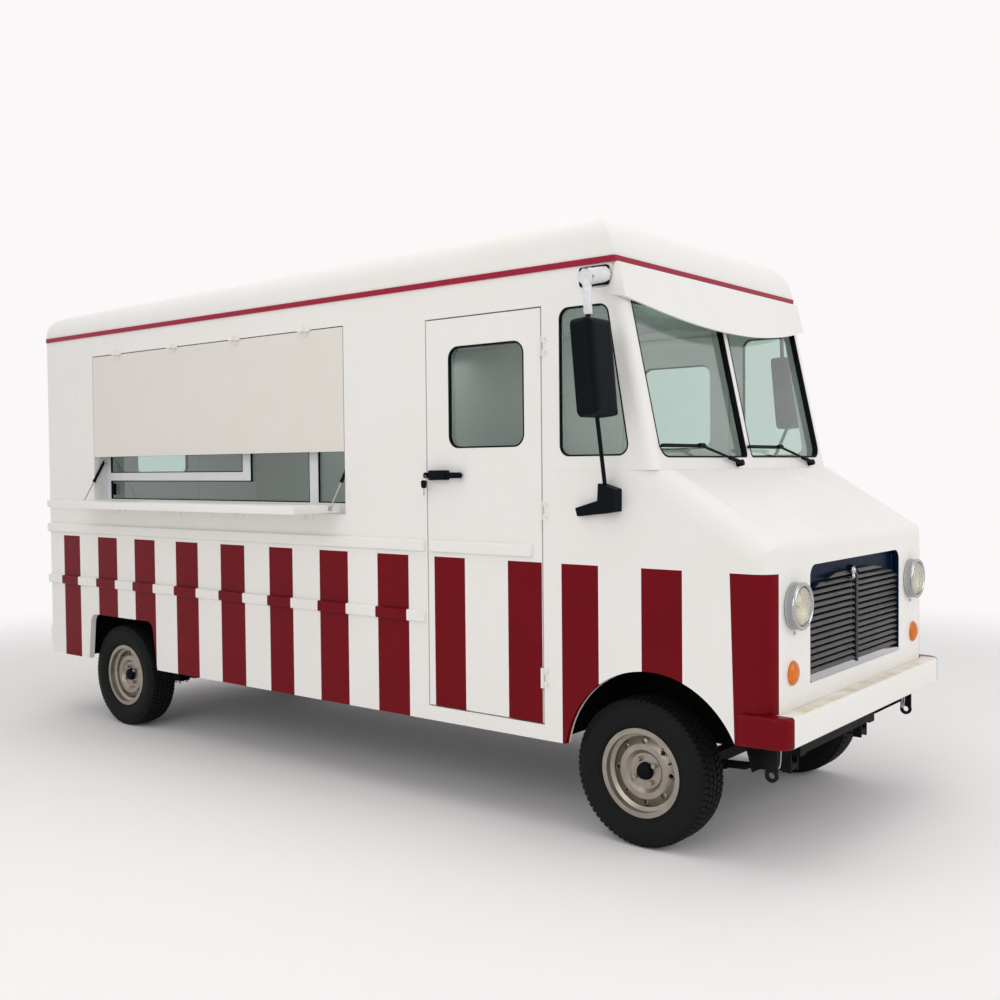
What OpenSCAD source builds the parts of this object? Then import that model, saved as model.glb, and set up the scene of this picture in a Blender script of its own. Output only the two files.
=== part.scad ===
// Electric food truck with a fold-down serving shelf and a lift-up hatch.
// Millimetres. X runs forward, Y to the left, Z up, with the ground at zero.

/* [Overall] */
// Width over the flat sides of the body
body_w = 1790; // [1700:5:1900]
// Distance between the front and rear axles
wheelbase = 3920; // [3860:10:4200]
// Front axle to the face of the front bumper
front_overhang = 725; // [700:5:760]
// Rear axle to the outside of the rear wall
tail = 766; // [740:5:900]
// How far the rear bumper stands behind the rear wall
rear_bumper_d = 89; // [70:1:120]
// Height of the lower edge of the body
skirt_z = 415; // [395:5:430]
// Height where the walls meet the roof
eaves_z = 2540; // [2500:5:2600]
// Thickness of the walls, roof and doors
wall = 36; // [30:1:42]
// Steps in a full circle
$fn = 64; // [32:4:96]

/* [Roof] */
// Height of the roof over the eaves, at its front end
front_rise = 235; // [230:5:280]
// Height of the roof over the eaves, at its rear end
rear_rise = 165; // [150:5:220]
// Radius of the long roof shoulders
shoulder_r = 130; // [90:5:150]
// Radius of the front edge of the roof
roof_nose_r = 230; // [160:5:230]
// Radius of the rear edge of the roof
roof_tail_r = 100; // [60:5:120]
// Height of the coloured band round the eaves
band_h = 27; // [20:1:40]
// How far that band stands out
band_d = 7; // [5:1:12]

/* [Nose] */
// Front axle to the flat front face
face_d = 646; // [630:2:660]
// Height of the cowl under the windscreen
cowl_z = 1640; // [1600:5:1680]
// Front axle to the rear edge of the sloping hood
hood_d = 165; // [140:5:190]
// Slope of the hood, in degrees below level
hood_slope = 32; // [28:0.5:34]
// Radius of the edge between hood and face
brow_r = 60; // [40:5:80]
// Radius of the upright front corners
corner_r = 90; // [70:5:110]
// Radius of the long hood shoulders
hood_r = 110; // [80:5:130]
// Height of the lower edge of the front face
chin_z = 532; // [520:2:545]
// Front axle to the joint between the cab front and the box, behind it
seam_d = 463; // [455:1:475]

/* [Windscreen] */
// Rake of the windscreen from upright, in degrees
rake = 12.3; // [9:0.1:13]
// Front axle to the lower edge of the glass
screen_d = 114; // [104:2:124]
// Height of the lower edge of the glass
screen_z = 1692; // [1686:2:1710]
// Upper edge of the panes to the eaves
pane_drop = 160; // [130:5:250]
// Width of each pane
pane_w = 808; // [760:2:812]
// Width of the post between the panes
post_w = 38; // [30:2:60]
// Thickness of all glass
glass_t = 6; // [4:1:8]
// How far the visor bulges forward at the middle
visor_bulge = 56; // [40:2:80]
// How far the visor dips at the middle
visor_dip = 94; // [60:2:110]

/* [Doors] */
// Width of each cab door
door_w = 696; // [640:2:700]
// Height of the lower edge of the cab doors
door_z0 = 492; // [480:2:505]
// Upper edge of the cab doors to the eaves
door_drop = 167; // [155:2:210]
// Gap round each door
door_gap = 7; // [6:0.5:9]
// Height of the cab door handles
handle_z = 1621; // [1600:1:1640]
// Width of the rear door
rear_door_w = 640; // [560:10:700]
// Height of the lower edge of the rear door
rear_door_z0 = 700; // [690:5:730]
// Upper edge of the rear door to the eaves
rear_door_drop = 180; // [140:5:290]

/* [Serving side] */
// Outside of the rear wall to the serving opening
serve_back = 556; // [480:2:600]
// Serving opening to the cab doors
serve_front = 586; // [520:2:660]
// Height of the lower edge of the opening
serve_z0 = 1428; // [1410:2:1440]
// Upper edge of the opening to the eaves
serve_drop = 136; // [110:2:160]
// Height of the lower edge of the closed hatch
hatch_z0 = 1748; // [1745:1:1770]
// Thickness of the hatch
hatch_t = 30; // [24:1:34]
// Thickness of the shelf
shelf_t = 42; // [34:1:46]
// Depth of the shelf
shelf_d = 322; // [290:1:323]
// Room for a gas strut beside each end of the shelf
strut_slot = 30; // [28:1:40]
// Depth of the lining behind the opening
lining_d = 92; // [85:1:120]
// Middle of the window post to the front end of the opening
serve_post = 352; // [300:2:400]
// Middle of the window mullion to the front end of the opening
serve_mullion = 932; // [860:2:1000]
// Middle of the window transom over the lower edge of the opening
transom_up = 190; // [150:2:230]

/* [Rub rails] */
// Middle height of the upper rail
upper_rail_z = 1275; // [1255:5:1290]
// Middle height of the lower rail
lower_rail_z = 925; // [890:5:960]
// Height of each rail
rail_h = 58; // [40:2:70]
// How far each rail stands out
rail_d = 20; // [12:1:26]

/* [Wheels] */
// Diameter of the tyres
tyre_d = 650; // [640:2:656]
// Width of the tyres
tyre_w = 188; // [176:2:192]
// Outer wall of each tyre to the side of the body
tyre_inset = 49; // [44:1:60]
// Radius of the rim flange
rim_r = 195; // [190:1:200]
// Holes in each wheel disc
vents = 8; // [6:1:10]
// Nuts on each wheel
nuts = 4; // [4:1:6]
// Radius of the circle of nuts
nut_circle_r = 57; // [54:0.5:62]
// Radius of the kingpins
kingpin_r = 13; // [10:0.5:15]
// Radius of the wheel spindles
spindle_r = 30; // [24:1:32]
// Radius of the front wheel arches
arch_r = 440; // [434:2:446]
// Front axle to the middle of the front arches
arch_d = 90; // [80:2:95]

/* [Running gear] */
// Middle of the truck to the middle of each frame rail
frame_y = 400; // [380:5:410]
// Width of the frame rails
frame_w = 60; // [50:2:66]
// Height of the underside of the frame
frame_z = 400; // [390:2:404]
// Depth of the frame rails
frame_h = 88; // [80:2:90]
// Leaves in each spring
leaves = 4; // [3:1:5]
// Length of each main leaf
spring_l = 1000; // [900:10:1040]
// Thickness of a leaf
leaf_t = 8; // [6:0.5:9]
// Radius of the hole in each tow eye
tow_r = 14; // [10:1:16]

/* [Front fittings] */
// Half the width of the grille opening
grille_y = 525; // [500:5:550]
// Height of the lower edge of the grille opening
grille_z0 = 744; // [730:2:760]
// Height of the upper edge of the grille opening
grille_z1 = 1238; // [1210:2:1250]
// Number of grille slats
slats = 15; // [11:1:17]
// How far the arched top of the slats drops towards its sides
grille_arch = 70; // [40:2:90]
// Middle of the truck to each headlamp
lamp_y = 682; // [676:1:690]
// Height of the headlamps
lamp_z = 1084; // [1060:2:1110]
// Radius of the headlamp bezels
lamp_r = 98; // [85:1:100]
// Middle of the truck to each front indicator
indicator_y = 708; // [690:2:720]
// Height of the round front indicators
indicator_z = 814; // [790:2:830]
// Radius of the front indicators
indicator_r = 50; // [40:1:55]
// Height of the lower edge of the front bumper
bumper_z0 = 540; // [536:1:550]
// Height of the upper edge of the front bumper
bumper_z1 = 667; // [650:1:680]
// How far the bumper ends stand out from the sides
bumper_side = 25; // [15:1:30]

/* [Mirrors] */
// How far the outer edge of each mirror stands out from the side
mirror_out = 305; // [280:5:315]
// Width of each mirror
mirror_w = 195; // [170:5:200]
// Height of each mirror
mirror_h = 405; // [380:5:430]
// Middle of each mirror to the eaves
mirror_drop = 475; // [450:5:500]
// Lean of the mirrors from upright, in degrees
mirror_lean = 5; // [0:1:8]
// How far the left mirror stands behind the right one
left_mirror_back = 165; // [150:5:200]

/* [Hidden] */
hw = body_w / 2;
length = front_overhang + wheelbase + tail + rear_bumper_d;
x_axle = length / 2 - front_overhang;
x_rear_axle = x_axle - wheelbase;
x_back = x_rear_axle - tail;
x_seam = x_axle - seam_d;
x_face = x_axle + face_d;
x_bumper = length / 2;
x_door1 = x_seam - door_gap;
x_door0 = x_door1 - door_w;
x_serve0 = x_back + serve_back;
x_serve1 = x_door0 - serve_front;
serve_l = x_serve1 - x_serve0;
serve_z1 = eaves_z - serve_drop;
door_z1 = eaves_z - door_drop;
rear_door_z1 = eaves_z - rear_door_drop;
roof_front_z = eaves_z + front_rise;
roof_rear_z = eaves_z + rear_rise;
band_z = eaves_z - 6;
pane_h = (eaves_z - pane_drop - screen_z) / cos(rake);
mirror_z = eaves_z - mirror_drop;
x_arch = x_axle + arch_d;
axle_z = tyre_d / 2;
arch_z = axle_z - 25;
front_arch_z = axle_z + 20;
track_half = hw - tyre_inset - tyre_w / 2;
kingpin_y = track_half - 102;
tyre_inner_y = track_half - tyre_w / 2;
front_house_y = tyre_inner_y - 184;
rear_house_y = tyre_inner_y - 52;
fit = 0.3;
floor_z = frame_z + frame_h + fit;
floor_t = 34;

// Line of the windscreen: distance ahead of the front axle at height z
function screen_x(z) = x_axle + screen_d - (z - screen_z) * tan(rake);

// Corner centres of an upright rectangle, taken anticlockwise
function corners(x0, y0, x1, y1, r) =
  [[x0 + r, y0 + r], [x1 - r, y0 + r], [x1 - r, y1 - r], [x0 + r, y1 - r]];

// Direction of the outward normal of the edge from a to b
function edge_turn(a, b) = atan2(a[0] - b[0], b[1] - a[1]);

// Angle brought to less than a half turn after another
function after(a, base) = a < base - 0.001 ? after(a + 360, base) : a;

// Points of an outline with round corners of radius r about the centres c
function soft(c, r, steps = 6) = [
  for (i = [0:len(c) - 1])
    let (prev = c[(i + len(c) - 1) % len(c)], next = c[(i + 1) % len(c)])
    let (a0 = edge_turn(prev, c[i]), a1 = after(edge_turn(c[i], next), a0))
    for (k = [0:steps])
      c[i] + r * [cos(a0 + (a1 - a0) * k / steps), sin(a0 + (a1 - a0) * k / steps)]
];

// Points of a box outline with its own radius at each corner, from the lower left one
function uneven(x0, y0, x1, y1, r) = [
  for (i = [0:3])
    let (cx = i == 0 || i == 3 ? x0 + r[i] : x1 - r[i], cy = i < 2 ? y0 + r[i] : y1 - r[i])
    for (k = [0:6])
      [cx + r[i] * cos(180 + 90 * i + 15 * k), cy + r[i] * sin(180 + 90 * i + 15 * k)]
];

// Box from one corner to the opposite one
module block(a, b) {
  translate(a)
    cube(b - a);
}

// Round bar from a to b
module bar(a, b, r) {
  d = b - a;
  translate(a)
    rotate([0, acos(d[2] / norm(d)), atan2(d[1], d[0])])
      cylinder(r = r, h = norm(d));
}

// Outline in X and Z made t thick, from y upwards
module side_plate(y, t) {
  translate([0, y + t, 0])
    rotate([90, 0, 0])
      linear_extrude(t)
        children();
}

// Outline in Y and Z made t thick, from x forwards
module front_plate(x, t) {
  translate([x, 0, 0])
    rotate([90, 0, 90])
      linear_extrude(t)
        children();
}

// Same shape on the right and on the left
module both_sides() {
  children();
  mirror([0, 1, 0])
    children();
}

// Box outline with round upper corners of radii ra and rb
module crowned(x0, y0, x1, y1, ra, rb) {
  polygon([
    [x0, y0], [x1, y0], [x1, y1 - rb], [x1 - rb, y1], [x0 + ra, y1], [x0, y1 - ra]
  ]);
  translate([x0 + ra, y1 - ra])
    circle(ra);
  translate([x1 - rb, y1 - rb])
    circle(rb);
}

// Place children with Z up the windscreen and X out of it
module on_screen() {
  translate([x_axle + screen_d, 0, screen_z])
    rotate([0, -rake, 0])
      children();
}

// Hinges. A pin with two end knuckles stays on the body, the middle knuckle
// moves. Both lie along Z about the origin, with the moving leaf towards -X
// and the skin at y = 0 behind an axis that stands hinge_out proud of it.
hinge_out = 9;
hinge_r = 8;
hinge_pin_r = 4;
hinge_l = 90;
leaf_w = 34;

module hinge_fixed() {
  for (z = [-hinge_l / 2, hinge_l / 6 + fit])
    translate([0, 0, z]) {
      cylinder(r = hinge_r, h = hinge_l / 3 - fit);
      block([0, hinge_out - 4, 0], [leaf_w, hinge_out, hinge_l / 3 - fit]);
      block([0, 0, 0], [hinge_r, hinge_out, hinge_l / 3 - fit]);
    }
  translate([0, 0, -hinge_l / 2])
    cylinder(r = hinge_pin_r, h = hinge_l);
}

module hinge_moving() {
  difference() {
    union() {
      translate([0, 0, -hinge_l / 6])
        cylinder(r = hinge_r, h = hinge_l / 3);
      block([-leaf_w, hinge_out - 4, -hinge_l / 6], [0, hinge_out + 1, hinge_l / 6]);
      block([-hinge_r, 0, -hinge_l / 6], [0, hinge_out + 1, hinge_l / 6]);
    }
    translate([0, 0, -hinge_l / 6 - 1])
      cylinder(r = hinge_pin_r + fit, h = hinge_l / 3 + 2);
    block([0.01, hinge_r - 4, -hinge_l], [leaf_w, hinge_out + 2, hinge_l]);
  }
}

// Where the hinges stand
door_hinge_x = x_seam - door_gap / 2;
door_hinge_z = [door_z0 + 208, (door_z0 + door_z1) / 2 + 28, door_z1 - 173];
hatch_hinge_z = serve_z1 - 3;
shelf_hinge_z = serve_z0 - hinge_out;
sill_z = shelf_hinge_z - 2;
serve_hinge_x = [for (k = [0.5:1:3.5]) x_serve0 + serve_l * k / 4];
rear_hinge_z = [rear_door_z0 + 200, (rear_door_z0 + rear_door_z1) / 2, rear_door_z1 - 200];
rear_hinge_y = rear_door_w / 2 + door_gap / 2;

module at_door_hinges() {
  for (z = door_hinge_z)
    translate([door_hinge_x, -hw - hinge_out, z])
      children();
}

module at_hatch_hinges() {
  for (x = serve_hinge_x)
    translate([x, -hw - hinge_out, hatch_hinge_z])
      rotate([0, -90, 0])
        children();
}

module at_shelf_hinges() {
  for (x = serve_hinge_x)
    translate([x, -hw - hinge_out, shelf_hinge_z])
      rotate([0, 90, 0])
        children();
}

module at_rear_hinges() {
  for (z = rear_hinge_z)
    translate([x_back - hinge_out, rear_hinge_y, z])
      rotate([0, 0, 90])
        mirror([0, 1, 0])
          children();
}

// Body shell

// Roof form, drawn in from the outside by i
module roof_form(i) {
  rise = atan((roof_front_z - roof_rear_z) / (x_axle - x_back));
  x_front = screen_x(eaves_z);
  low = eaves_z - (i > 0 ? 50 : 0);
  intersection() {
    translate([x_front, 0, roof_front_z + 0.5])
      rotate([0, -rise, 0])
        translate([-length * 1.2, 0, 0])
          front_plate(0, length * 1.4)
            crowned(-hw + i, -600, hw - i, -i, shoulder_r - i, shoulder_r - i);
    side_plate(-body_w, 2 * body_w)
      intersection() {
        union() {
          polygon([
            [x_back + i, low],
            [x_front - i, low],
            [x_front - i, roof_front_z - roof_nose_r],
            [x_front - roof_nose_r, roof_front_z - i],
            [x_back + roof_tail_r, roof_rear_z - i],
            [x_back + i, roof_rear_z - roof_tail_r]
          ]);
          translate([x_front - roof_nose_r, roof_front_z - roof_nose_r])
            circle(roof_nose_r - i);
          translate([x_back + roof_tail_r, roof_rear_z - roof_tail_r])
            circle(roof_tail_r - i);
        }
        translate([x_back - 100, low])
          square([length, 1000]);
      }
  }
}

module roof() {
  color("white")
    difference() {
      roof_form(0);
      roof_form(wall);
    }
}

module roof_band() {
  x_front = screen_x(eaves_z);
  color("crimson")
    difference() {
      translate([0, 0, band_z])
        linear_extrude(band_h)
          polygon(soft(corners(x_back - band_d, -hw - band_d, x_front + band_d, hw + band_d, 12), 12));
      block([x_back - fit, -hw - fit, band_z - 10], [screen_x(band_z) + fit, hw + fit, band_z + band_h + 10]);
    }
}

// Hood height at a distance x
function hood_at(x) = cowl_z - (x - x_axle - hood_d) * tan(hood_slope);

// Nose form, drawn in from the outside by i and reaching e past its open ends
module nose_form(i, e) {
  c = [x_face - brow_r, hood_at(x_face - brow_r) - brow_r / cos(hood_slope)];
  h = [x_axle + hood_d - i * (1 / cos(hood_slope) - 1) / tan(hood_slope), cowl_z - i];
  intersection() {
    translate([0, 0, skirt_z - e])
      linear_extrude(cowl_z)
        rotate(-90)
          crowned(-hw + i, x_seam - e, hw - i, x_face - i, corner_r - i, corner_r - i);
    side_plate(-body_w, 2 * body_w)
      union() {
        polygon([
          [x_seam - e, skirt_z - e],
          [x_face - i, skirt_z - e],
          [x_face - i, c[1]],
          c,
          c + (brow_r - i) * [sin(hood_slope), cos(hood_slope)],
          h,
          [x_seam - e, cowl_z - i]
        ]);
        translate(c)
          circle(brow_r - i);
      }
    translate([x_axle + hood_d, 0, cowl_z])
      rotate([0, hood_slope, 0])
        front_plate(-1200, 2200)
          crowned(-hw + i - 0.5, -2500, hw - i + 0.5, -i, hood_r - i, hood_r - i);
  }
}

module nose() {
  color("white")
    difference() {
      nose_form(0, 0);
      nose_form(wall, 60);
      translate([0, 0, cowl_z - wall - 1])
        block([x_seam - 1, -hw + wall, 0], [screen_x(cowl_z) - wall - 20, hw - wall, wall + 2]);
      translate([x_arch, hw + 10, front_arch_z])
        rotate([90, 0, 0])
          cylinder(r = arch_r, h = body_w + 20);
      block([x_arch, -hw - 1, skirt_z - 1], [x_face + 1, hw + 1, chin_z]);
      front_plate(x_face - wall - 20, wall + 40)
        polygon(uneven(-grille_y, grille_z0, grille_y, grille_z1, [6, 6, 52, 52]));
    }
}

// Windscreen form, drawn in by i and reaching e past its open ends
module screen_form(i, e) {
  intersection() {
    on_screen()
      translate([0, 0, -700])
        linear_extrude(2000)
          rotate(-90)
            crowned(-hw + i, -1500, hw - i, -i, 45 - i, 45 - i);
    block([x_seam - e, -body_w, cowl_z + fit - e], [x_axle + 900, body_w, eaves_z - fit + e]);
  }
}

// Outline of the pane on the left of the post, in Y and along the slope
function pane_outline(inset) = uneven(
  post_w / 2 + inset, inset, post_w / 2 + pane_w - inset, pane_h - inset, [20, 65, 20, 20]);

// Heights of the lower and upper corner centres of the quarter windows
quarter_z0 = screen_z + 60;
quarter_z1 = eaves_z - 228;

// Outline of the quarter windows in X and Z
function quarter_outline(inset) = soft([
  [x_seam + 146, quarter_z0], [x_axle - 56, quarter_z0],
  [x_axle - 150, quarter_z1], [x_seam + 146, quarter_z1]
], 50 - inset);

module screen_frame() {
  color("white")
    difference() {
      screen_form(0, 0);
      screen_form(wall, 40);
      on_screen()
        both_sides()
          front_plate(-wall - 30, wall + 60)
            polygon(pane_outline(0));
      both_sides()
        side_plate(hw - wall - 10, wall + 20)
          polygon(quarter_outline(0));
    }
}

module windscreen_glass() {
  color("lightcyan", 0.5)
    on_screen()
      both_sides()
        front_plate(2 - wall, glass_t)
          polygon(pane_outline(fit));
}

module quarter_glass() {
  color("lightcyan", 0.5)
    both_sides()
      side_plate(hw - wall / 2, glass_t)
        polygon(quarter_outline(fit));
}

// Height of the visor's lip at the front corners
visor_z = eaves_z - 160;
visor_out = 8;

// Lower lip of the visor at station s, from -1 on the right to 1 on the left
function visor_lip(s) = [
  screen_x(visor_z) + 26 + visor_bulge * (1 - s * s),
  s * (hw + visor_out),
  visor_z - visor_dip * (1 - s * s)
];

// Section of the visor over the windscreen at station s
function visor_front(s) = [
  visor_lip(s),
  [screen_x(eaves_z) + 24, s * (hw + visor_out), band_z - 3],
  [screen_x(band_z - 3) + fit, s * (hw + fit), band_z - 3],
  [screen_x(band_z - 20) + fit, s * (hw + fit), band_z - 20],
  abs(s) < 0.99 ? visor_lip(s) - [14, 0, 0] : [screen_x(visor_z) + fit, s * (hw + fit), visor_z]
];

// Section of the tail of the visor on a side, at x and from z0 to z1
function visor_tail(side, x, z0, z1) = [
  [x, side * (hw + visor_out), z0], [x, side * (hw + visor_out), z1], [x, side * (hw + fit), z1],
  [x, side * (hw + fit + 2), (z0 + z1) / 2], [x, side * (hw + fit), z0]
];

module visor() {
  steps = 24;
  sections = concat(
    [visor_tail(-1, x_axle - 166, visor_z + 37, visor_z + 46)],
    [visor_tail(-1, x_axle - 90, visor_z + 14, visor_z + 52)],
    [for (k = [0:steps]) visor_front(2 * k / steps - 1)],
    [visor_tail(1, x_axle - 90, visor_z + 14, visor_z + 52)],
    [visor_tail(1, x_axle - 166, visor_z + 37, visor_z + 46)]
  );
  n = len(sections) - 1;
  color("white")
    polyhedron(
      points = [for (s = sections) for (p = s) p],
      faces = concat(
        [[4, 3, 2, 1, 0], [for (j = [0:4]) n * 5 + j]],
        [for (k = [0:n - 1]) for (j = [0:4])
          for (f = [
            [k * 5 + j, k * 5 + (j + 1) % 5, k * 5 + 5 + (j + 1) % 5],
            [k * 5 + j, k * 5 + 5 + (j + 1) % 5, k * 5 + 5 + j]
          ]) f]
      )
    );
}

// Outline of the rear wheel arches in X and Z, with room added behind the wheel
module rear_arch(grow, back = 0) {
  polygon(soft([
    [x_rear_axle - 225 - back, axle_z + 327], [x_rear_axle - 265 - back, arch_z],
    [x_rear_axle + 415, arch_z], [x_rear_axle + 355, axle_z + 327]
  ], 60 + grow));
}

// Section of a rub rail of height h, from d0 to its round outer edge
module rail_section(h, d0) {
  r = rail_d * 0.45;
  polygon(concat(
    [[d0, h / 2], [d0, -h / 2]],
    [for (s = [-1, 1]) for (k = [0:4]) let (a = 45 * s - 45 + 22.5 * k)
      [rail_d - r + r * cos(a), s * (h / 2 - r) + r * sin(a)]]
  ));
}

// Rail on the right side from x0 to x1 about the height z
module rub_rail(x0, x1, z, h = rail_h) {
  front_plate(x0, x1 - x0)
    translate([-hw, z])
      mirror([1, 0, 0])
        rail_section(h, -1);
}

// Round end of a rail on the right side, over a quarter turn from the angle a
module rail_end(x, z, a, h = rail_h) {
  translate([x, -hw, z])
    rotate_extrude(angle = 90, start = a)
      rail_section(h, 0);
}

// Rail from the rear corner to x1, led round that corner to the edge of the wall
module corner_rail(x1, z, h = rail_h) {
  rub_rail(x_back, x1, z, h);
  rail_end(x_back, z, 180, h);
  rail_end(x1, z, 270, h);
  side_plate(-hw, wall)
    translate([x_back, z])
      mirror([1, 0, 0])
        rail_section(h, -1);
}

// Right-hand wall without its serving opening
module side_wall() {
  side_plate(-hw, wall)
    difference() {
      translate([x_back, skirt_z])
        square([x_seam - x_back - fit, eaves_z - skirt_z - fit]);
      translate([x_door0 - door_gap, door_z0 - door_gap])
        square([x_seam - x_door0 + 2 * door_gap, door_z1 - door_z0 + 2 * door_gap]);
      rear_arch(0);
    }
  for (z = [upper_rail_z, lower_rail_z])
    corner_rail(x_door0 - door_gap - rail_d - 10, z);
}

module side_wall_right() {
  color("white") {
    difference() {
      side_wall();
      block([x_serve0, -hw - 1, sill_z], [x_serve1, -hw + wall + 1, serve_z1]);
    }
    corner_rail(x_serve0 - rail_d - 10, serve_z0 + 9, 47);
  }
}

module side_wall_left() {
  color("white")
    mirror([0, 1, 0])
      side_wall();
}

module rear_wall() {
  y = hw - wall - fit;
  y_rail = rear_door_w / 2 + 70;
  color("white") {
    both_sides()
      side_plate(y_rail, y - y_rail)
        translate([x_back, upper_rail_z])
          mirror([1, 0, 0])
            rail_section(rail_h, -1);
    front_plate(x_back, wall)
      difference() {
        translate([-y, skirt_z])
          square([2 * y, eaves_z - skirt_z - fit]);
        translate([-rear_door_w / 2 - door_gap, rear_door_z0 - door_gap])
          square([rear_door_w + 2 * door_gap, rear_door_z1 - rear_door_z0 + 2 * door_gap]);
      }
  }
}

module hinge_leaves() {
  color("white") {
    both_sides()
      at_door_hinges()
        hinge_fixed();
    at_hatch_hinges()
      hinge_fixed();
    at_shelf_hinges()
      hinge_fixed();
    at_rear_hinges()
      hinge_fixed();
  }
}

// Floor and inner panels

module floor() {
  y = hw - wall - fit;
  color("dimgray")
    difference() {
      union() {
        block([x_back + wall + fit, -y, floor_z], [x_axle + 120, y, floor_z + floor_t]);
        front_plate(x_axle + 86, 34)
          crowned(-y, floor_z, y, cowl_z - wall - 4, hood_r, hood_r);
      }
      both_sides() {
        translate([x_arch - 20, front_house_y - 4, front_arch_z])
          rotate([-90, 0, 0])
            cylinder(r = arch_r + 46, h = 600);
        side_plate(rear_house_y - 6, 600)
          rear_arch(26, 45);
      }
    }
}

module front_house() {
  difference() {
    translate([x_arch - 20, front_house_y, front_arch_z])
      rotate([-90, 0, 0])
        cylinder(r = arch_r + 45, h = hw - wall - fit - front_house_y);
    translate([x_arch - 20, front_house_y + 6, front_arch_z])
      rotate([-90, 0, 0])
        cylinder(r = arch_r + 39, h = hw);
    block([x_axle - 1000, 0, -300], [x_axle + 1000, hw + 10, skirt_z + 10]);
    block([x_face - wall - 2, 0, -300], [x_axle + 1000, hw + 10, 2000]);
  }
}

module rear_house() {
  difference() {
    side_plate(rear_house_y, hw - wall - fit - rear_house_y)
      rear_arch(25, 45);
    side_plate(rear_house_y + 6, hw)
      rear_arch(19, 45);
    block([x_rear_axle - 1000, 0, 0], [x_rear_axle + 1000, hw + 10, skirt_z + 10]);
  }
}

module wheelhouses() {
  color("black")
    both_sides() {
      front_house();
      rear_house();
    }
}

module dashboard() {
  y = hw - wall - 40;
  color("dimgray")
    side_plate(-y, 2 * y)
      polygon(soft([
        [x_axle - 130, cowl_z - 400], [x_axle + 46, cowl_z - 400], [x_axle + 46, cowl_z - 80],
        [x_axle - 60, cowl_z - 80], [x_axle - 150, cowl_z - 200]
      ], 40));
}

// Middle of the truck to the middle of each seat
seat_y = hw - 515;

// Steering wheel place and lean
steer_pos = [x_axle - 330, seat_y, cowl_z - 310];
steer_lean = 48;

module at_steering() {
  translate(steer_pos)
    rotate([0, -steer_lean, 0])
      children();
}

module steering_column() {
  color("black")
    at_steering()
      difference() {
        translate([0, 0, -215])
          cylinder(r = 26, h = 190);
        translate([0, 0, -60])
          cylinder(r = 10 + fit, h = 60);
      }
}

module steering_wheel() {
  color("black")
    at_steering() {
      rotate_extrude()
        translate([190, 0])
          circle(14);
      for (a = [90, 210, 330])
        rotate(a)
          block([0, -16, -8], [190, 16, 6]);
      translate([0, 0, -24])
        cylinder(r = 52, h = 36);
      translate([0, 0, -55])
        cylinder(r = 10, h = 40);
    }
}

// Seat on its box: cushion, back and head rest, with heights above the floor
seat_w = 440;
seat_x = x_axle - 760;
seat_z = floor_z + floor_t;

module seat() {
  color("gray") {
    block([seat_x - 200, seat_y - 180, seat_z], [seat_x + 200, seat_y + 180, seat_z + 278]);
    side_plate(seat_y - seat_w / 2, seat_w)
      polygon(soft([
        [seat_x - 220, seat_z + 308], [seat_x + 220, seat_z + 318],
        [seat_x + 220, seat_z + 378], [seat_x - 220, seat_z + 368]
      ], 36));
    side_plate(seat_y - seat_w / 2 + 5, seat_w - 10)
      polygon(soft([
        [seat_x - 270, seat_z + 378], [seat_x - 200, seat_z + 398],
        [seat_x - 310, seat_z + 918], [seat_x - 370, seat_z + 918]
      ], 30));
    side_plate(seat_y - seat_w / 2 + 100, seat_w - 200)
      polygon(soft([
        [seat_x - 330, seat_z + 928], [seat_x - 330, seat_z + 1098],
        [seat_x - 380, seat_z + 1098], [seat_x - 380, seat_z + 928]
      ], 26));
  }
}

module seats() {
  both_sides()
    seat();
}

module kitchen_counter() {
  y = -hw + wall + 1;
  top = serve_z0 - 106;
  color("lightgray") {
    difference() {
      block([x_serve0, y, floor_z + floor_t], [x_serve1, y + 470, top - 32]);
      block([x_serve0 + 30, y + 30, floor_z], [x_serve1 - 30, y + 440, top - 52]);
      side_plate(-hw, hw - rear_house_y + 6)
        rear_arch(26, 45);
    }
    block([x_serve0, y, top - 33], [x_serve1, y + 500, top]);
  }
}

// Doors

// Outline of the cab door windows in X and Z
function door_window(inset) = soft(
  corners(x_door0 + 140, door_z1 - 623, x_door1 - 95, door_z1 - 135, 60), 60 - inset);

module cab_door() {
  difference() {
    union() {
      side_plate(-hw, wall)
        translate([x_door0, door_z0])
          square([door_w, door_z1 - door_z0]);
      rub_rail(x_door0 + 10 + rail_d, x_door1 - 48 - rail_d, upper_rail_z);
      rail_end(x_door0 + 10 + rail_d, upper_rail_z, 180);
      rail_end(x_door1 - 48 - rail_d, upper_rail_z, 270);
    }
    side_plate(-hw - 10, wall + 20)
      polygon(door_window(0));
  }
  at_door_hinges()
    hinge_moving();
}

module cab_door_glass() {
  color("lightcyan", 0.5)
    side_plate(-hw + wall / 2, glass_t)
      polygon(door_window(fit));
}

module cab_door_handle() {
  color("black") {
    side_plate(-hw - 36, 18)
      polygon(soft(corners(x_door0 + 2, handle_z - 14, x_door0 + 240, handle_z + 14, 13), 13));
    side_plate(-hw - 5, 5)
      polygon(soft(corners(x_door0 + 6, handle_z - 24, x_door0 + 62, handle_z + 24, 10), 10));
    for (x = [x_door0 + 34, x_door0 + 214])
      translate([x, -hw, handle_z])
        rotate([90, 0, 0])
          cylinder(r = 11, h = 30);
  }
}

module door_right() {
  color("white")
    cab_door();
}

module door_left() {
  color("white")
    mirror([0, 1, 0])
      cab_door();
}

module door_glass_right() {
  cab_door_glass();
}

module door_glass_left() {
  mirror([0, 1, 0])
    cab_door_glass();
}

module handle_right() {
  cab_door_handle();
}

module handle_left() {
  mirror([0, 1, 0])
    cab_door_handle();
}

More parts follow.
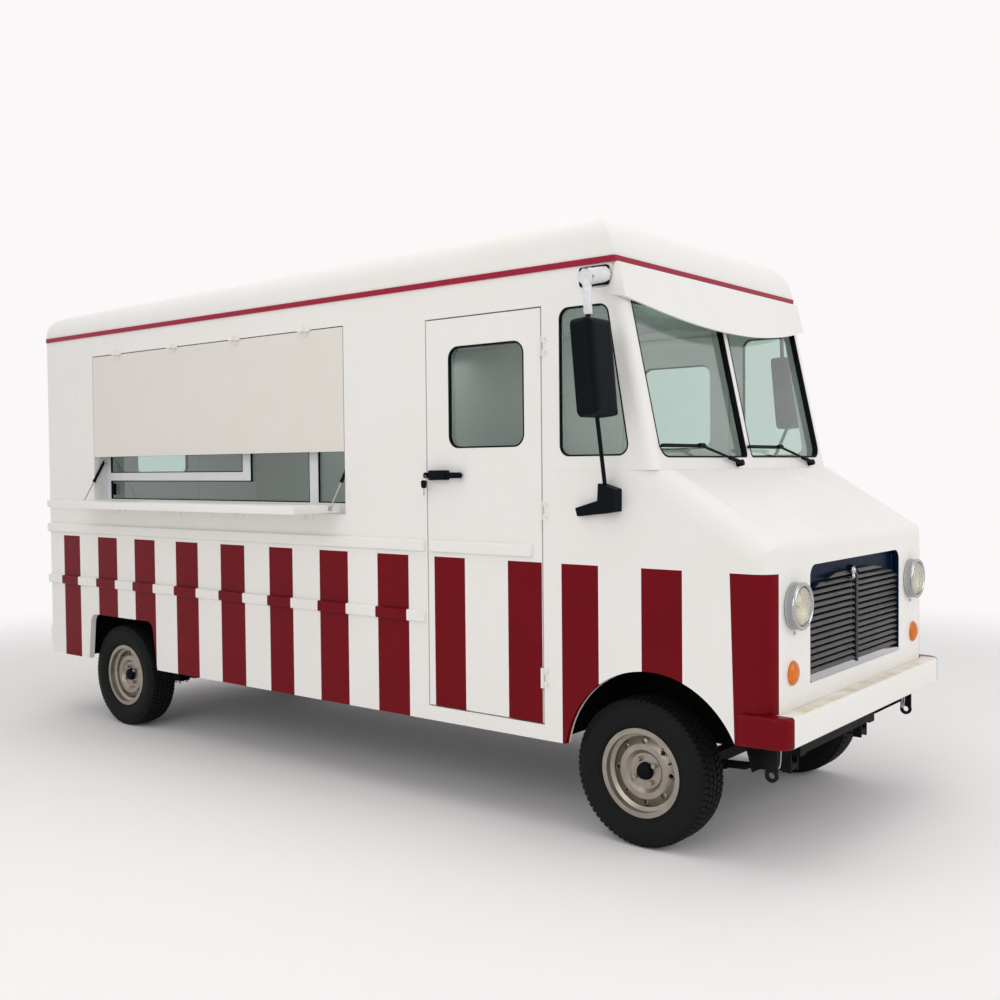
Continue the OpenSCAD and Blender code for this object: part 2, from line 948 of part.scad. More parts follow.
// Outline of the rear door window in Y and Z
function rear_window(inset) = soft(
  corners(-rear_door_w / 2 + 100, rear_door_z1 - 740, rear_door_w / 2 - 100, rear_door_z1 - 140, 60),
  60 - inset);

module door_rear() {
  color("white") {
    front_plate(x_back, wall)
      difference() {
        translate([-rear_door_w / 2, rear_door_z0])
          square([rear_door_w, rear_door_z1 - rear_door_z0]);
        polygon(rear_window(0));
      }
    at_rear_hinges()
      hinge_moving();
  }
}

module door_glass_rear() {
  color("lightcyan", 0.5)
    front_plate(x_back + wall / 2, glass_t)
      polygon(rear_window(fit));
}

module handle_rear() {
  y = -rear_door_w / 2 + 10;
  color("black") {
    block([x_back - 34, y, 1304], [x_back - 16, y + 180, 1336]);
    block([x_back - 20, y, 1300], [x_back, y + 50, 1340]);
    block([x_back - 20, y + 146, 1306], [x_back, y + 180, 1334]);
  }
}

// Serving side

// Outline of light k of the serving window in X and Z, drawn in by g: the light
// over the transom, the one under it and beside it, and the one ahead of the post
function serve_light(k, g) =
  let (x0 = x_serve0 + 38 + g, x1 = x_serve1 - 38 - g)
  let (m0 = x_serve1 - serve_mullion - 36 - g, m1 = x_serve1 - serve_mullion + 36 + g)
  let (p0 = x_serve1 - serve_post - 35 - g, p1 = x_serve1 - serve_post + 35 + g)
  let (z0 = serve_z0 + 44 + g, z1 = serve_z1 - 44 - g)
  let (t0 = serve_z0 + transom_up - 25 - g, t1 = serve_z0 + transom_up + 25 + g)
  k == 0 ? [[x0, t1], [m0, t1], [m0, z1], [x0, z1]] :
  k == 1 ? [[x0, z0], [p0, z0], [p0, z1], [m1, z1], [m1, t0], [x0, t0]] :
  [[p1, z0], [x1, z0], [x1, z1], [p1, z1]];

module serving_window() {
  y0 = -hw + wall + fit;
  y1 = y0 + lining_d;
  color("white") {
    difference() {
      block([x_serve0 - 30, y0, sill_z - 30], [x_serve1 + 30, y1, serve_z1 + 30]);
      block([x_serve0, y0 - 1, sill_z], [x_serve1, y1 - 30, serve_z1]);
      for (k = [0:2])
        side_plate(y1 - 40, 41)
          polygon(serve_light(k, 0));
    }
    for (s = [0, 1])
      translate([s == 0 ? x_serve0 : x_serve1, strut_top[0], strut_top[1]])
        rotate([0, s == 0 ? 90 : -90, 0])
          cylinder(r = strut_pin_r, h = strut_slot - 4);
  }
}

module serving_glass() {
  color("lightcyan", 0.5)
    for (k = [0:2])
      side_plate(-hw + wall + lining_d - 15 - glass_t / 2, glass_t)
        polygon(serve_light(k, fit));
}

module hatch() {
  color("antiquewhite") {
    block([x_serve0 + 6, -hw, hatch_z0], [x_serve1 - 6, -hw + hatch_t, serve_z1 - 6]);
    at_hatch_hinges()
      hinge_moving();
  }
}

module shelf() {
  color("white") {
    block([x_serve0 + strut_slot, -hw - hinge_out - shelf_d, serve_z0],
      [x_serve1 - strut_slot, -hw - hinge_out - 3, serve_z0 + shelf_t]);
    at_shelf_hinges()
      shelf_knuckle();
    for (s = [0, 1])
      translate([s == 0 ? x_serve0 + strut_slot : x_serve1 - strut_slot, strut_foot[0], strut_foot[1]])
        rotate([0, s == 0 ? -90 : 90, 0])
          cylinder(r = 9, h = strut_slot / 2 - strut_eye_w / 2 - fit);
  }
}

// Moving knuckle of the shelf, with its leaf under the open shelf
module shelf_knuckle() {
  difference() {
    union() {
      translate([0, 0, -hinge_l / 6])
        cylinder(r = hinge_r, h = hinge_l / 3);
      block([-hinge_out - 1, -leaf_w, -hinge_l / 6], [-hinge_out + 4, 0, hinge_l / 6]);
      block([-hinge_out - 1, -hinge_r, -hinge_l / 6], [0, 0, hinge_l / 6]);
    }
    translate([0, 0, -hinge_l / 6 - 1])
      cylinder(r = hinge_pin_r + fit, h = hinge_l / 3 + 2);
  }
}

// Gas struts, with Y and Z of their upper pin and of their foot on the shelf
strut_top = [-hw + 63, hatch_z0 - 33];
strut_foot = [-hw - 95, serve_z0 + shelf_t / 2];
strut_pin_r = 4;
strut_r = 9;
strut_tube_l = 150;
strut_eye_w = 14;

// Children placed with Z down the strut from its upper pin
module along_strut(s) {
  d = strut_foot - strut_top;
  translate([s == 0 ? x_serve0 + strut_slot / 2 : x_serve1 - strut_slot / 2, strut_top[0], strut_top[1]])
    rotate([atan2(d[1], d[0]) - 90, 0, 0])
      children();
}

module strut_tube(s) {
  color("black")
    along_strut(s)
      difference() {
        union() {
          cylinder(r = strut_r, h = strut_tube_l);
          rotate([0, 90, 0])
            cylinder(r = strut_r, h = 12, center = true);
        }
        rotate([0, 90, 0])
          cylinder(r = strut_pin_r + fit, h = 60, center = true);
        translate([0, 0, 14])
          cylinder(r = 4 + fit, h = strut_tube_l);
      }
}

module strut_rod(s) {
  l = norm(strut_foot - strut_top);
  color("silver")
    along_strut(s) {
      translate([0, 0, strut_tube_l - 30])
        cylinder(r = 4, h = l - strut_tube_l + 30);
      translate([0, 0, l])
        rotate([0, 90, 0])
          cylinder(r = 10, h = strut_eye_w, center = true);
    }
}

module strut_tube_rear() {
  strut_tube(0);
}

module strut_tube_front() {
  strut_tube(1);
}

module strut_rod_rear() {
  strut_rod(0);
}

module strut_rod_front() {
  strut_rod(1);
}

// Front and rear fittings

module front_bumper() {
  color("white")
    difference() {
      translate([0, 0, bumper_z0])
        linear_extrude(bumper_z1 - bumper_z0)
          rotate(-90)
            crowned(-hw - bumper_side, x_face - 130, hw + bumper_side, x_bumper, 75, 75);
      translate([0, 0, bumper_z0 - 1])
        linear_extrude(bumper_z1 - bumper_z0 + 2)
          rotate(-90)
            crowned(-hw - fit, x_face - 140, hw + fit, x_face + fit, corner_r, corner_r);
    }
}

module rear_bumper() {
  color("white") {
    block([x_back - rear_bumper_d, -hw + 40, 470], [x_back - 9, hw - 40, 590]);
    for (y = [-500, 500])
      block([x_back - 10, y - 40, 490], [x_back, y + 40, 570]);
  }
}

// Louvre of the grille about x, from height z and h high, on the left of its middle
module slat(x, z, h) {
  side_plate(22, grille_y - 30)
    polygon(soft([[x - 10, z + 3], [x + 10, z + 3], [x + 1, z + h - 3], [x - 10, z + h - 3]], 3, 3));
}

// Slats in two halves under an arch, a bottom trim and a bowed post with a knob
module grille() {
  x = x_face - wall + 18;
  top = grille_z1 - 46;
  low = grille_z0 + 34;
  pitch = (top - low) / slats;
  arch = (grille_y * grille_y + grille_arch * grille_arch) / (2 * grille_arch);
  color("silver") {
    both_sides()
      intersection() {
        union() {
          for (k = [0:slats - 1])
            slat(x, low + k * pitch, pitch * 0.62);
          block([x - 18, 14, low - 10], [x - 6, 30, top]);
          block([x - 18, grille_y - 22, low - 10], [x + 2, grille_y - 6, top]);
        }
        front_plate(x - 40, 80)
          translate([0, top - arch])
            circle(arch, $fn = 360);
      }
    side_plate(-grille_y + 4, 2 * grille_y - 8)
      polygon([
        [x - 18, grille_z0 + 2], [x + 20, grille_z0 + 2], [x + 20, grille_z0 + 8],
        [x + 4, grille_z0 + 31], [x - 18, grille_z0 + 31]
      ]);
    bar([x + 10, 0, grille_z0 + 20], [x + 40, 0, grille_z1 - 76], 8);
    bar([x + 40, 0, grille_z1 - 80], [x + 52, 0, grille_z1 - 50], 8);
    bar([x - 12, 0, grille_z1 - 92], [x + 40, 0, grille_z1 - 82], 6);
    translate([x + 52, 0, grille_z1 - 50])
      sphere(13);
    block([x - 17, -20, grille_z1 - 120], [x - 9, 20, grille_z1 - 70]);
  }
}

module grille_backing() {
  x = x_face - wall - 20;
  color("midnightblue")
    front_plate(x, 20 - fit)
      polygon(soft(corners(-grille_y - 30, grille_z0 - 30, grille_y + 30, grille_z1 + 30, 60), 60));
}

// Dome of height rise on a round base of radius half at height z, from edge to middle
function dome(half, z, rise) =
  let (r = (half * half + rise * rise) / (2 * rise), a = asin(half / r))
  [for (k = [0:8]) [r * sin(a * (1 - k / 8)), z + rise - r + r * cos(a * (1 - k / 8))]];

module headlamps() {
  color("silver")
    both_sides()
      translate([x_face + fit, lamp_y, lamp_z])
        rotate([0, 90, 0])
          rotate_extrude()
            polygon(concat(
              [[0, 0], [lamp_r, 0]],
              [for (a = [0:15:180]) [lamp_r - 9 + 9 * cos(a), 36 + 9 * sin(a)]],
              [[lamp_r - 18, 30], [0, 22]]
            ));
}

module lamp_lenses() {
  color("lightcyan", 0.6)
    both_sides()
      translate([x_face + fit, lamp_y, lamp_z])
        rotate([0, 90, 0])
          rotate_extrude()
            polygon(concat([[0, 22 + fit], [lamp_r - 19, 30 + fit]], dome(lamp_r - 19, 39, 22)));
}

module indicators() {
  color("orange")
    both_sides()
      translate([x_face + fit, indicator_y, indicator_z])
        rotate([0, 90, 0])
          rotate_extrude()
            polygon(concat([[0, 0], [indicator_r, 0], [indicator_r, 9]], dome(indicator_r - 5, 14, 14)));
}

module tail_lamps() {
  color("red")
    both_sides()
      front_plate(x_back - 30, 30 - fit)
        polygon(soft(corners(hw - 190, 760, hw - 70, 1080, 18), 18));
}

// Mirrors. Each stands b behind its place ahead of the cab door.
mirror_y = -hw - mirror_out + mirror_w / 2;
mirror_t = 88;

// Middle of a mirror, with its back towards +X
module at_mirror(b) {
  translate([x_axle - 25 - b, mirror_y, mirror_z])
    rotate([0, -mirror_lean, 0])
      children();
}

// Shell of a mirror, rounded at all edges of its back
module mirror_shell() {
  w = mirror_w / 2;
  h = mirror_h / 2;
  t = mirror_t / 2;
  intersection() {
    front_plate(-t, mirror_t)
      polygon(soft(corners(-w, -h, w, h, 30), 30));
    translate([0, 0, -h])
      linear_extrude(mirror_h)
        rotate(-90)
          crowned(-w, -t, w, t, 48, 48);
    side_plate(-w, mirror_w)
      polygon(uneven(-t, -h, t, h, [2, 36, 36, 2]));
  }
}

// Arms, upper plate and boot-shaped foot of a mirror on the right side
module mirror_arm(b) {
  x = x_axle - b;
  top = [x - 72, mirror_y, eaves_z - 95];
  bar([x - 118, -hw + 2, eaves_z - 60], top, 11);
  translate(top)
    sphere(13);
  bar(top, [x - 66, mirror_y, mirror_z + mirror_h / 2 - 20], 11);
  bar([x - 28, mirror_y, mirror_z - mirror_h / 2 + 20], [x - 96, -hw - 45, cowl_z - 70], 9);
  side_plate(-hw - 14, 14)
    polygon(soft(corners(x - 245, eaves_z - 102, x - 95, eaves_z - 17, 12), 12));
  side_plate(-hw - 60, 60)
    polygon(soft([
      [x - 126, cowl_z - 184], [x - 46, cowl_z - 172], [x - 45, cowl_z - 84], [x - 119, cowl_z - 61]
    ], 5));
  side_plate(-hw - 34, 34)
    polygon(soft([
      [x - 247, cowl_z - 196], [x - 115, cowl_z - 181], [x - 115, cowl_z - 128], [x - 256, cowl_z - 168]
    ], 5));
}

// One mirror on the right side, cut clear of the skin
module door_mirror(b) {
  difference() {
    union() {
      mirror_arm(b);
      at_mirror(b)
        mirror_shell();
    }
    block([x_axle - 900, -hw - fit, 0], [x_axle + 400, 0, 3000]);
  }
}

module mirrors() {
  color("black") {
    door_mirror(0);
    mirror([0, 1, 0])
      door_mirror(left_mirror_back);
  }
}

// Glass of one mirror on the right side
module mirror_pane(b) {
  w = mirror_w / 2 - 10;
  h = mirror_h / 2 - 10;
  at_mirror(b)
    front_plate(-mirror_t / 2 - 4 - fit, 4)
      polygon(soft(corners(-w, -h, w, h, 24), 24));
}

module mirror_glass() {
  color("lightsteelblue") {
    mirror_pane(0);
    mirror([0, 1, 0])
      mirror_pane(left_mirror_back);
  }
}

// Wiper about its pivot on the frame under the pane, with the blade towards -Y
module wiper() {
  blade_z = 80;
  translate([fit, 0, 0])
    rotate([0, 90, 0])
      cylinder(r = 15, h = 32);
  bar([24, 0, 0], [24, -110, 0.31 * blade_z], 10);
  bar([24, 0, 0], [24, -356, blade_z], 6);
  block([14, -372, blade_z - 6], [30, -330, blade_z + 10]);
  side_plate(-680, 375)
    polygon([[4, blade_z - 4], [9, blade_z - 7], [22, blade_z - 7], [22, blade_z + 7], [9, blade_z + 7]]);
}

module wipers() {
  color("black")
    on_screen()
      for (y = [0, hw - 89])
        translate([0, y - 144, -30])
          wiper();
}

// Running gear

module chassis_frame() {
  x0 = x_back + wall + 20;
  x1 = x_axle + 560;
  color("dimgray") {
    both_sides()
      block([x0, frame_y - frame_w / 2, frame_z], [x1, frame_y + frame_w / 2, frame_z + frame_h]);
    for (x = [x0, x_rear_axle + 560, x_axle - 900, x1 - 50])
      block([x, -frame_y, frame_z + 8], [x + 50, frame_y, frame_z + frame_h - 8]);
    both_sides() {
      for (x = [x_axle, x_rear_axle])
        for (s = [-1, 1])
          spring_hanger(x + s * spring_l / 2);
      tow_eye();
    }
  }
}

spring_y = frame_y;
eye_z = frame_z - 55;
eye_r = 20;

module spring_hanger(x) {
  for (s = [-1, 1])
    translate([x, spring_y + s * 33, 0])
      block([-20, -5, eye_z - 22], [20, 5, frame_z + 10]);
  translate([x, spring_y - 38, eye_z])
    rotate([-90, 0, 0])
      cylinder(r = 8, h = 76);
}

// Tow eye on a plate that hangs under the front edge of the nose
module tow_eye() {
  x = x_face - 53;
  y = hw - 115;
  z = chin_z - 130;
  difference() {
    union() {
      block([x - 33, y - 40, chin_z - 8 - fit], [x + 50, y + 40, chin_z - fit]);
      block([x - 26, y - 6, z], [x + 26, y + 6, chin_z - 4]);
      translate([x, y + 6, z])
        rotate([90, 0, 0])
          cylinder(r = 2 * tow_r, h = 12);
    }
    translate([x, y + 50, z])
      rotate([90, 0, 0])
        cylinder(r = tow_r, h = 100);
  }
}

// Leaf pack about x, with its middle at height z
module leaf_spring(x, z) {
  sag = eye_z - z;
  half = spring_l / 2;
  r = (half * half + sag * sag) / (2 * sag);
  translate([x, spring_y - 26, z + r])
    rotate([-90, 0, 0])
      for (k = [0:leaves - 1])
        let (a = asin(half * (1 - 0.2 * k) / r) - (k == 0 ? asin(12 / r) : 0))
        rotate_extrude(angle = 2 * a, start = 90 - a, $fn = 180)
          translate([r + k * leaf_t, 0])
            square([leaf_t, 52]);
  for (s = [-1, 1])
    translate([x + s * half, spring_y - 26, eye_z])
      rotate([-90, 0, 0])
        difference() {
          cylinder(r = eye_r, h = 52);
          translate([0, 0, -1])
            cylinder(r = 8 + fit, h = 60);
        }
}

module front_axle() {
  y1 = kingpin_y - 20;
  z0 = axle_z - 92;
  color("dimgray") {
    difference() {
      union() {
        block([x_axle - 32, -y1 + 60, z0], [x_axle + 32, y1 - 60, z0 + 52]);
        both_sides() {
          block([x_axle - 28, y1 - 90, z0], [x_axle + 28, y1 - 40, axle_z + 20]);
          block([x_axle - 24, y1 - 60, axle_z - 30], [x_axle + 24, kingpin_y, axle_z + 20]);
          translate([x_axle, kingpin_y, axle_z - 44])
            cylinder(r = 30, h = 88);
        }
      }
      both_sides()
        translate([x_axle, kingpin_y, 0])
          cylinder(r = kingpin_r + fit, h = 800);
    }
    both_sides() {
      leaf_spring(x_axle, z0 + 50 + leaves * leaf_t);
      for (s = [-1, 1])
        block([x_axle - 30, spring_y + s * 32 - 5, z0 - 12], [x_axle + 30, spring_y + s * 32 + 5, z0 + 96]);
      block([x_axle - 40, spring_y - 37, z0 - 14], [x_axle + 40, spring_y + 37, z0 + 2]);
    }
  }
}

module rear_axle() {
  color("dimgray") {
    translate([x_rear_axle, -track_half + 36, axle_z])
      rotate([-90, 0, 0])
        cylinder(r = 40, h = 2 * track_half - 72);
    translate([x_rear_axle, -track_half - 14, axle_z])
      rotate([-90, 0, 0])
        cylinder(r = spindle_r, h = 2 * track_half + 28);
    translate([x_rear_axle - 10, -190, axle_z - 6])
      rotate([-90, 0, 0])
        cylinder(r = 118, h = 380);
    translate([x_rear_axle + 60, 40, axle_z - 10])
      rotate([0, 90, 0])
        cylinder(r = 96, h = 300);
    both_sides() {
      leaf_spring(x_rear_axle, axle_z - 38);
      for (s = [-1, 1])
        block([x_rear_axle - 40, spring_y + s * 32 - 5, axle_z - 96],
          [x_rear_axle + 40, spring_y + s * 32 + 5, axle_z + 44]);
      block([x_rear_axle - 45, spring_y - 37, axle_z - 98], [x_rear_axle + 45, spring_y + 37, axle_z - 84]);
      block([x_rear_axle - 45, spring_y - 37, axle_z + 38], [x_rear_axle + 45, spring_y + 37, axle_z + 48]);
    }
  }
}

module battery_pack() {
  color("slategray") {
    block([x_rear_axle + 640, -330, 290], [x_axle - 940, 330, frame_z + frame_h - 10]);
    both_sides()
      for (x = [x_rear_axle + 900, x_axle - 1500])
        block([x, 329, 330], [x + 60, frame_y - frame_w / 2, 380 + frame_z - 390]);
    both_sides()
      for (x = [x_rear_axle + 900, x_axle - 1500])
        block([x, 340, frame_z - 12], [x + 60, frame_y + 20, frame_z - fit]);
  }
}

module knuckle() {
  y2 = kingpin_y + 44;
  both_sides_z()
    block([x_axle - 30, kingpin_y - 30, 44 + fit], [x_axle + 30, y2 + 2, 66]);
  block([x_axle - 48, y2, axle_z - 66], [x_axle + 48, y2 + 22, axle_z + 66]);
  translate([x_axle, kingpin_y, axle_z - 66])
    cylinder(r = kingpin_r, h = 132);
  translate([x_axle, y2, axle_z])
    rotate([-90, 0, 0])
      cylinder(r = spindle_r, h = track_half + 14 - y2);
  block([x_axle - 170, kingpin_y - 34, axle_z - 66], [x_axle - 20, kingpin_y - 4, axle_z - 46]);
}

// Same lug above and below the axle line
module both_sides_z() {
  translate([0, 0, axle_z])
    children();
  translate([0, 0, axle_z])
    mirror([0, 0, 1])
      children();
}

module knuckle_left() {
  color("gray")
    knuckle();
}

module knuckle_right() {
  color("gray")
    mirror([0, 1, 0])
      knuckle();
}

// Wheel parts stand about the origin with the outside towards +Z

module tyre() {
  b = tyre_w / 2;
  r = tyre_d / 2;
  c = rim_r - 1 + fit;
  rotate_extrude($fn = 96)
    polygon(soft([
      [c, 52], [c, -52], [rim_r + 60, 16 - b], [r - 16, 18 - b], [r - 16, b - 18], [rim_r + 60, b - 16]
    ], 16, 5));
}

module rim() {
  s = rim_r - 195;
  difference() {
    union() {
      rotate_extrude($fn = 96)
        polygon([
          [rim_r, 77], [rim_r, 70.5], [178 + s, 70.5], [178 + s, 45], [160 + s, 36], [160 + s, -20],
          [178 + s, -30], [178 + s, -70.5], [rim_r, -70.5], [rim_r, -77], [173 + s, -77], [172 + s, -33],
          [155 + s, -23], [155 + s, 12], [140 + s, 22], [118, 38], [96, 38], [80, 22], [52, 22], [52, -35.5],
          [spindle_r + fit, -35.5], [spindle_r + fit, 28], [78, 28], [95, 45], [120, 45], [142 + s, 29],
          [155 + s, 22], [155 + s, 39], [172 + s, 48], [173 + s, 77]
        ]);
      for (k = [0:nuts - 1])
        rotate(360 * (k + 0.35) / nuts)
          translate([nut_circle_r, 0, 27])
            cylinder(r = 11, h = 21, $fn = 6);
      rotate_extrude()
        polygon([
          [0, 30], [spindle_r - 1, 30], [spindle_r - 1, 27], [38, 27], [38, 34], [32, 50], [20, 55], [0, 55]
        ]);
    }
    for (k = [0:vents - 1])
      rotate(360 * k / vents)
        translate([133 + s / 2, 0, 0])
          cylinder(r = 11, h = 60);
  }
}

// Places of the wheels: middle of the axle end and the side, -1 for the right
module wheel_at(x, side) {
  translate([x, side * track_half, axle_z])
    rotate([-90 * side, 0, 0])
      children();
}

module tyre_front_right() {
  color("black")
    wheel_at(x_axle, -1)
      tyre();
}

module tyre_front_left() {
  color("black")
    wheel_at(x_axle, 1)
      tyre();
}

module tyre_rear_right() {
  color("black")
    wheel_at(x_rear_axle, -1)
      tyre();
}

module tyre_rear_left() {
  color("black")
    wheel_at(x_rear_axle, 1)
      tyre();
}

module rim_front_right() {
  color("silver")
    wheel_at(x_axle, -1)
      rim();
}

module rim_front_left() {
  color("silver")
    wheel_at(x_axle, 1)
      rim();
}

module rim_rear_right() {
  color("silver")
    wheel_at(x_rear_axle, -1)
      rim();
}

module rim_rear_left() {
  color("silver")
    wheel_at(x_rear_axle, 1)
      rim();
}

roof();
roof_band();
nose();
screen_frame();
windscreen_glass();
quarter_glass();
visor();
side_wall_right();
side_wall_left();
rear_wall();
hinge_leaves();
floor();
wheelhouses();
dashboard();
steering_column();
steering_wheel();
seats();
kitchen_counter();
door_right();
door_left();
door_rear();
door_glass_right();
door_glass_left();
door_glass_rear();
handle_right();
handle_left();
handle_rear();
serving_window();
serving_glass();
hatch();
shelf();
strut_tube_rear();
strut_tube_front();
strut_rod_rear();
strut_rod_front();
front_bumper();
rear_bumper();
grille();
grille_backing();
headlamps();
lamp_lenses();
indicators();
tail_lamps();
mirrors();
mirror_glass();
wipers();
chassis_frame();
front_axle();
rear_axle();
battery_pack();
knuckle_left();
knuckle_right();
tyre_front_right();
tyre_front_left();
tyre_rear_right();
tyre_rear_left();
rim_front_right();
rim_front_left();
rim_rear_right();
rim_rear_left();
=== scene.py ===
"""Looks of an electric food truck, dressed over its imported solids. Metres, X forward, Y left, Z up."""

import logging
import math
from dataclasses import dataclass
from enum import Enum
from typing import Any, Callable, Sequence

import bmesh
import bpy
from mathutils import Matrix, Vector


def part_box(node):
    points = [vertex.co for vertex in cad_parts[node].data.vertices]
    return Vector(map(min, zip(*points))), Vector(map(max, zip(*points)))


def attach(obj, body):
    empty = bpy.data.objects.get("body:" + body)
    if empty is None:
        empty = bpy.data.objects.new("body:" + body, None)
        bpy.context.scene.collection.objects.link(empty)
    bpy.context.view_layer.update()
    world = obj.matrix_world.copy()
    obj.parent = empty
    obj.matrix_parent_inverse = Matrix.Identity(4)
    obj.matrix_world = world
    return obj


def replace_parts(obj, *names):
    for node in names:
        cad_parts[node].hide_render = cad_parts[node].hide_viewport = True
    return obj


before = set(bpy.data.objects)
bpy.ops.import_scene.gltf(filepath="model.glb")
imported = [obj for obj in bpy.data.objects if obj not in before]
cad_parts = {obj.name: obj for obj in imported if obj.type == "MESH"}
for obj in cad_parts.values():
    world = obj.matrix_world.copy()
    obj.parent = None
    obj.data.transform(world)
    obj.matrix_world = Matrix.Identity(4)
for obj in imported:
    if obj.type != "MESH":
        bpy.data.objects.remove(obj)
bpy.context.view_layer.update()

LOG = logging.getLogger("food_truck")
MM = 0.001
HALF_WIDTH = 0.895
X_BACK = -2.661
X_FACE = 2.6713
Point2 = tuple[float, float]
Point3 = tuple[float, float, float]
NodeTree = bpy.types.NodeTree
NodeSocket = bpy.types.NodeSocket
Piece = bpy.types.Object


class Side(Enum):
    """Sides of the truck, each with the sign of its Y."""

    RIGHT = -1
    LEFT = 1

    @property
    def word(self) -> str:
        """Name of the side in lower case."""
        return self.name.lower()


class Part(Enum):
    """What a mesh selection is made of."""

    VERT = 0
    EDGE = 1
    FACE = 2


class Facing(Enum):
    """Where the Z of a flat model points, with the world axes that its X, Y and Z go to."""

    RIGHT = ((1, 0, 0), (0, 0, 1), (0, -1, 0))
    LEFT = ((1, 0, 0), (0, 0, 1), (0, 1, 0))
    FRONT = ((0, 1, 0), (0, 0, 1), (1, 0, 0))
    BACK = ((0, 1, 0), (0, 0, 1), (-1, 0, 0))

    def at(self, x: float, y: float, z: float) -> Matrix:
        """Place that turns a flat model this way and moves its origin to a point."""
        turn = Matrix([Vector(axis) for axis in self.value]).transposed().to_4x4()
        return Matrix.Translation((x, y, z)) @ turn


def flank(side: Side) -> Facing:
    """Facing of a side of the truck."""
    return Facing.RIGHT if side is Side.RIGHT else Facing.LEFT


# Colours and nodes


def linear(code: str) -> tuple[float, float, float, float]:
    """Turn an sRGB hex colour into a linear one.

    Args:
        code: Six hex digits after a hash sign.

    Returns:
        Linear red, green, blue and an alpha of 1.
    """
    parts = [int(code[i : i + 2], 16) / 255 for i in (1, 3, 5)]
    red, green, blue = (p / 12.92 if p <= 0.04045 else ((p + 0.055) / 1.055) ** 2.4 for p in parts)
    return red, green, blue, 1.0


def add_node(tree: NodeTree, kind: str, settings: dict[str, Any], inputs: dict[Any, Any]) -> bpy.types.Node:
    """Add a node with its settings, its constant inputs and its links.

    Args:
        tree: Node tree that gets the node.
        kind: Blender's type name of the node.
        settings: Attributes of the node.
        inputs: Socket name or number to a value, or to an output socket that is linked to it.

    Returns:
        The new node.
    """
    node = tree.nodes.new(kind)
    for key, value in settings.items():
        setattr(node, key, value)
    for key, value in inputs.items():
        if isinstance(value, NodeSocket):
            tree.links.new(value, node.inputs[key])
        else:
            node.inputs[key].default_value = value
    return node


def per_metre(size_mm: float) -> float:
    """Scale of a pattern whose features are size_mm across."""
    return 1000 / size_mm


# Finishes


@dataclass(frozen=True)
class Finish:
    """A surface: its colour, its gloss, and the size of its fine relief and of its slow changes of colour."""

    name: str
    colour: str
    other: str
    roughness: float
    metallic: float = 0.0
    coat: float = 0.0
    specular: float = 0.5
    spread: float = 0.06
    mottle_mm: float = 260
    grain_mm: float = 5
    grain_depth_mm: float = 0.03

    def material(self) -> bpy.types.Material:
        """Give the finish's material, made on its first use."""
        known = bpy.data.materials.get(self.name)
        return known if known else self._make()

    def _blank(self) -> bpy.types.Material:
        """Give a new material of the finish's name with an empty node tree."""
        made = bpy.data.materials.new(self.name)
        made.use_nodes = True
        made.node_tree.nodes.clear()
        return made

    def _make(self) -> bpy.types.Material:
        """Make the material.

        Returns:
            A material with one Principled shader, its colour, gloss and relief driven by patterns.
        """
        made = self._blank()
        tree = made.node_tree
        place = add_node(tree, "ShaderNodeTexCoord", {}, {}).outputs["Object"]
        gloss = {"Metallic": self.metallic, "Coat Weight": self.coat, "Coat Roughness": 0.08}
        gloss["Specular IOR Level"] = self.specular
        shader = add_node(tree, "ShaderNodeBsdfPrincipled", {}, gloss)
        self.colour_nodes(tree, place, shader)
        self.relief_nodes(tree, place, shader)
        add_node(tree, "ShaderNodeOutputMaterial", {}, {"Surface": shader.outputs["BSDF"]})
        return made

    def colour_nodes(self, tree: NodeTree, place: NodeSocket, shader: bpy.types.Node) -> None:
        """Drive the base colour and the roughness by a slow mottle.

        Args:
            tree: Node tree of the material.
            place: Object coordinates.
            shader: The Principled shader.
        """
        slow = {"Vector": place, "Scale": per_metre(self.mottle_mm), "Detail": 5.0, "Roughness": 0.6}
        noise = add_node(tree, "ShaderNodeTexNoise", {}, slow).outputs["Fac"]
        tones = {"Factor": noise, 6: linear(self.colour), 7: linear(self.other)}
        mix = add_node(tree, "ShaderNodeMix", {"data_type": "RGBA"}, tones)
        tree.links.new(self.pattern(tree, place, mix.outputs[2]), shader.inputs["Base Color"])
        limits = {
            "Value": noise,
            "From Min": 0.25,
            "From Max": 0.75,
            "To Min": max(self.roughness - self.spread, 0.02),
            "To Max": min(self.roughness + self.spread, 1.0),
        }
        gloss = add_node(tree, "ShaderNodeMapRange", {}, limits)
        tree.links.new(gloss.outputs["Result"], shader.inputs["Roughness"])

    def pattern(self, tree: NodeTree, place: NodeSocket, base: NodeSocket) -> NodeSocket:
        """Lay a pattern of colour over the base; plain finishes have none."""
        return base

    def height(self, tree: NodeTree, place: NodeSocket) -> NodeSocket:
        """Height of the fine relief: an even grain."""
        grain = {"Vector": place, "Scale": per_metre(self.grain_mm), "Detail": 3.0}
        return add_node(tree, "ShaderNodeTexNoise", {}, grain).outputs["Fac"]

    def relief_nodes(self, tree: NodeTree, place: NodeSocket, shader: bpy.types.Node) -> None:
        """Drive the normal by the fine relief.

        Args:
            tree: Node tree of the material.
            place: Object coordinates.
            shader: The shader.
        """
        relief = {"Height": self.height(tree, place), "Distance": self.grain_depth_mm * MM, "Strength": 1.0}
        bump = add_node(tree, "ShaderNodeBump", {}, relief)
        tree.links.new(bump.outputs["Normal"], shader.inputs["Normal"])


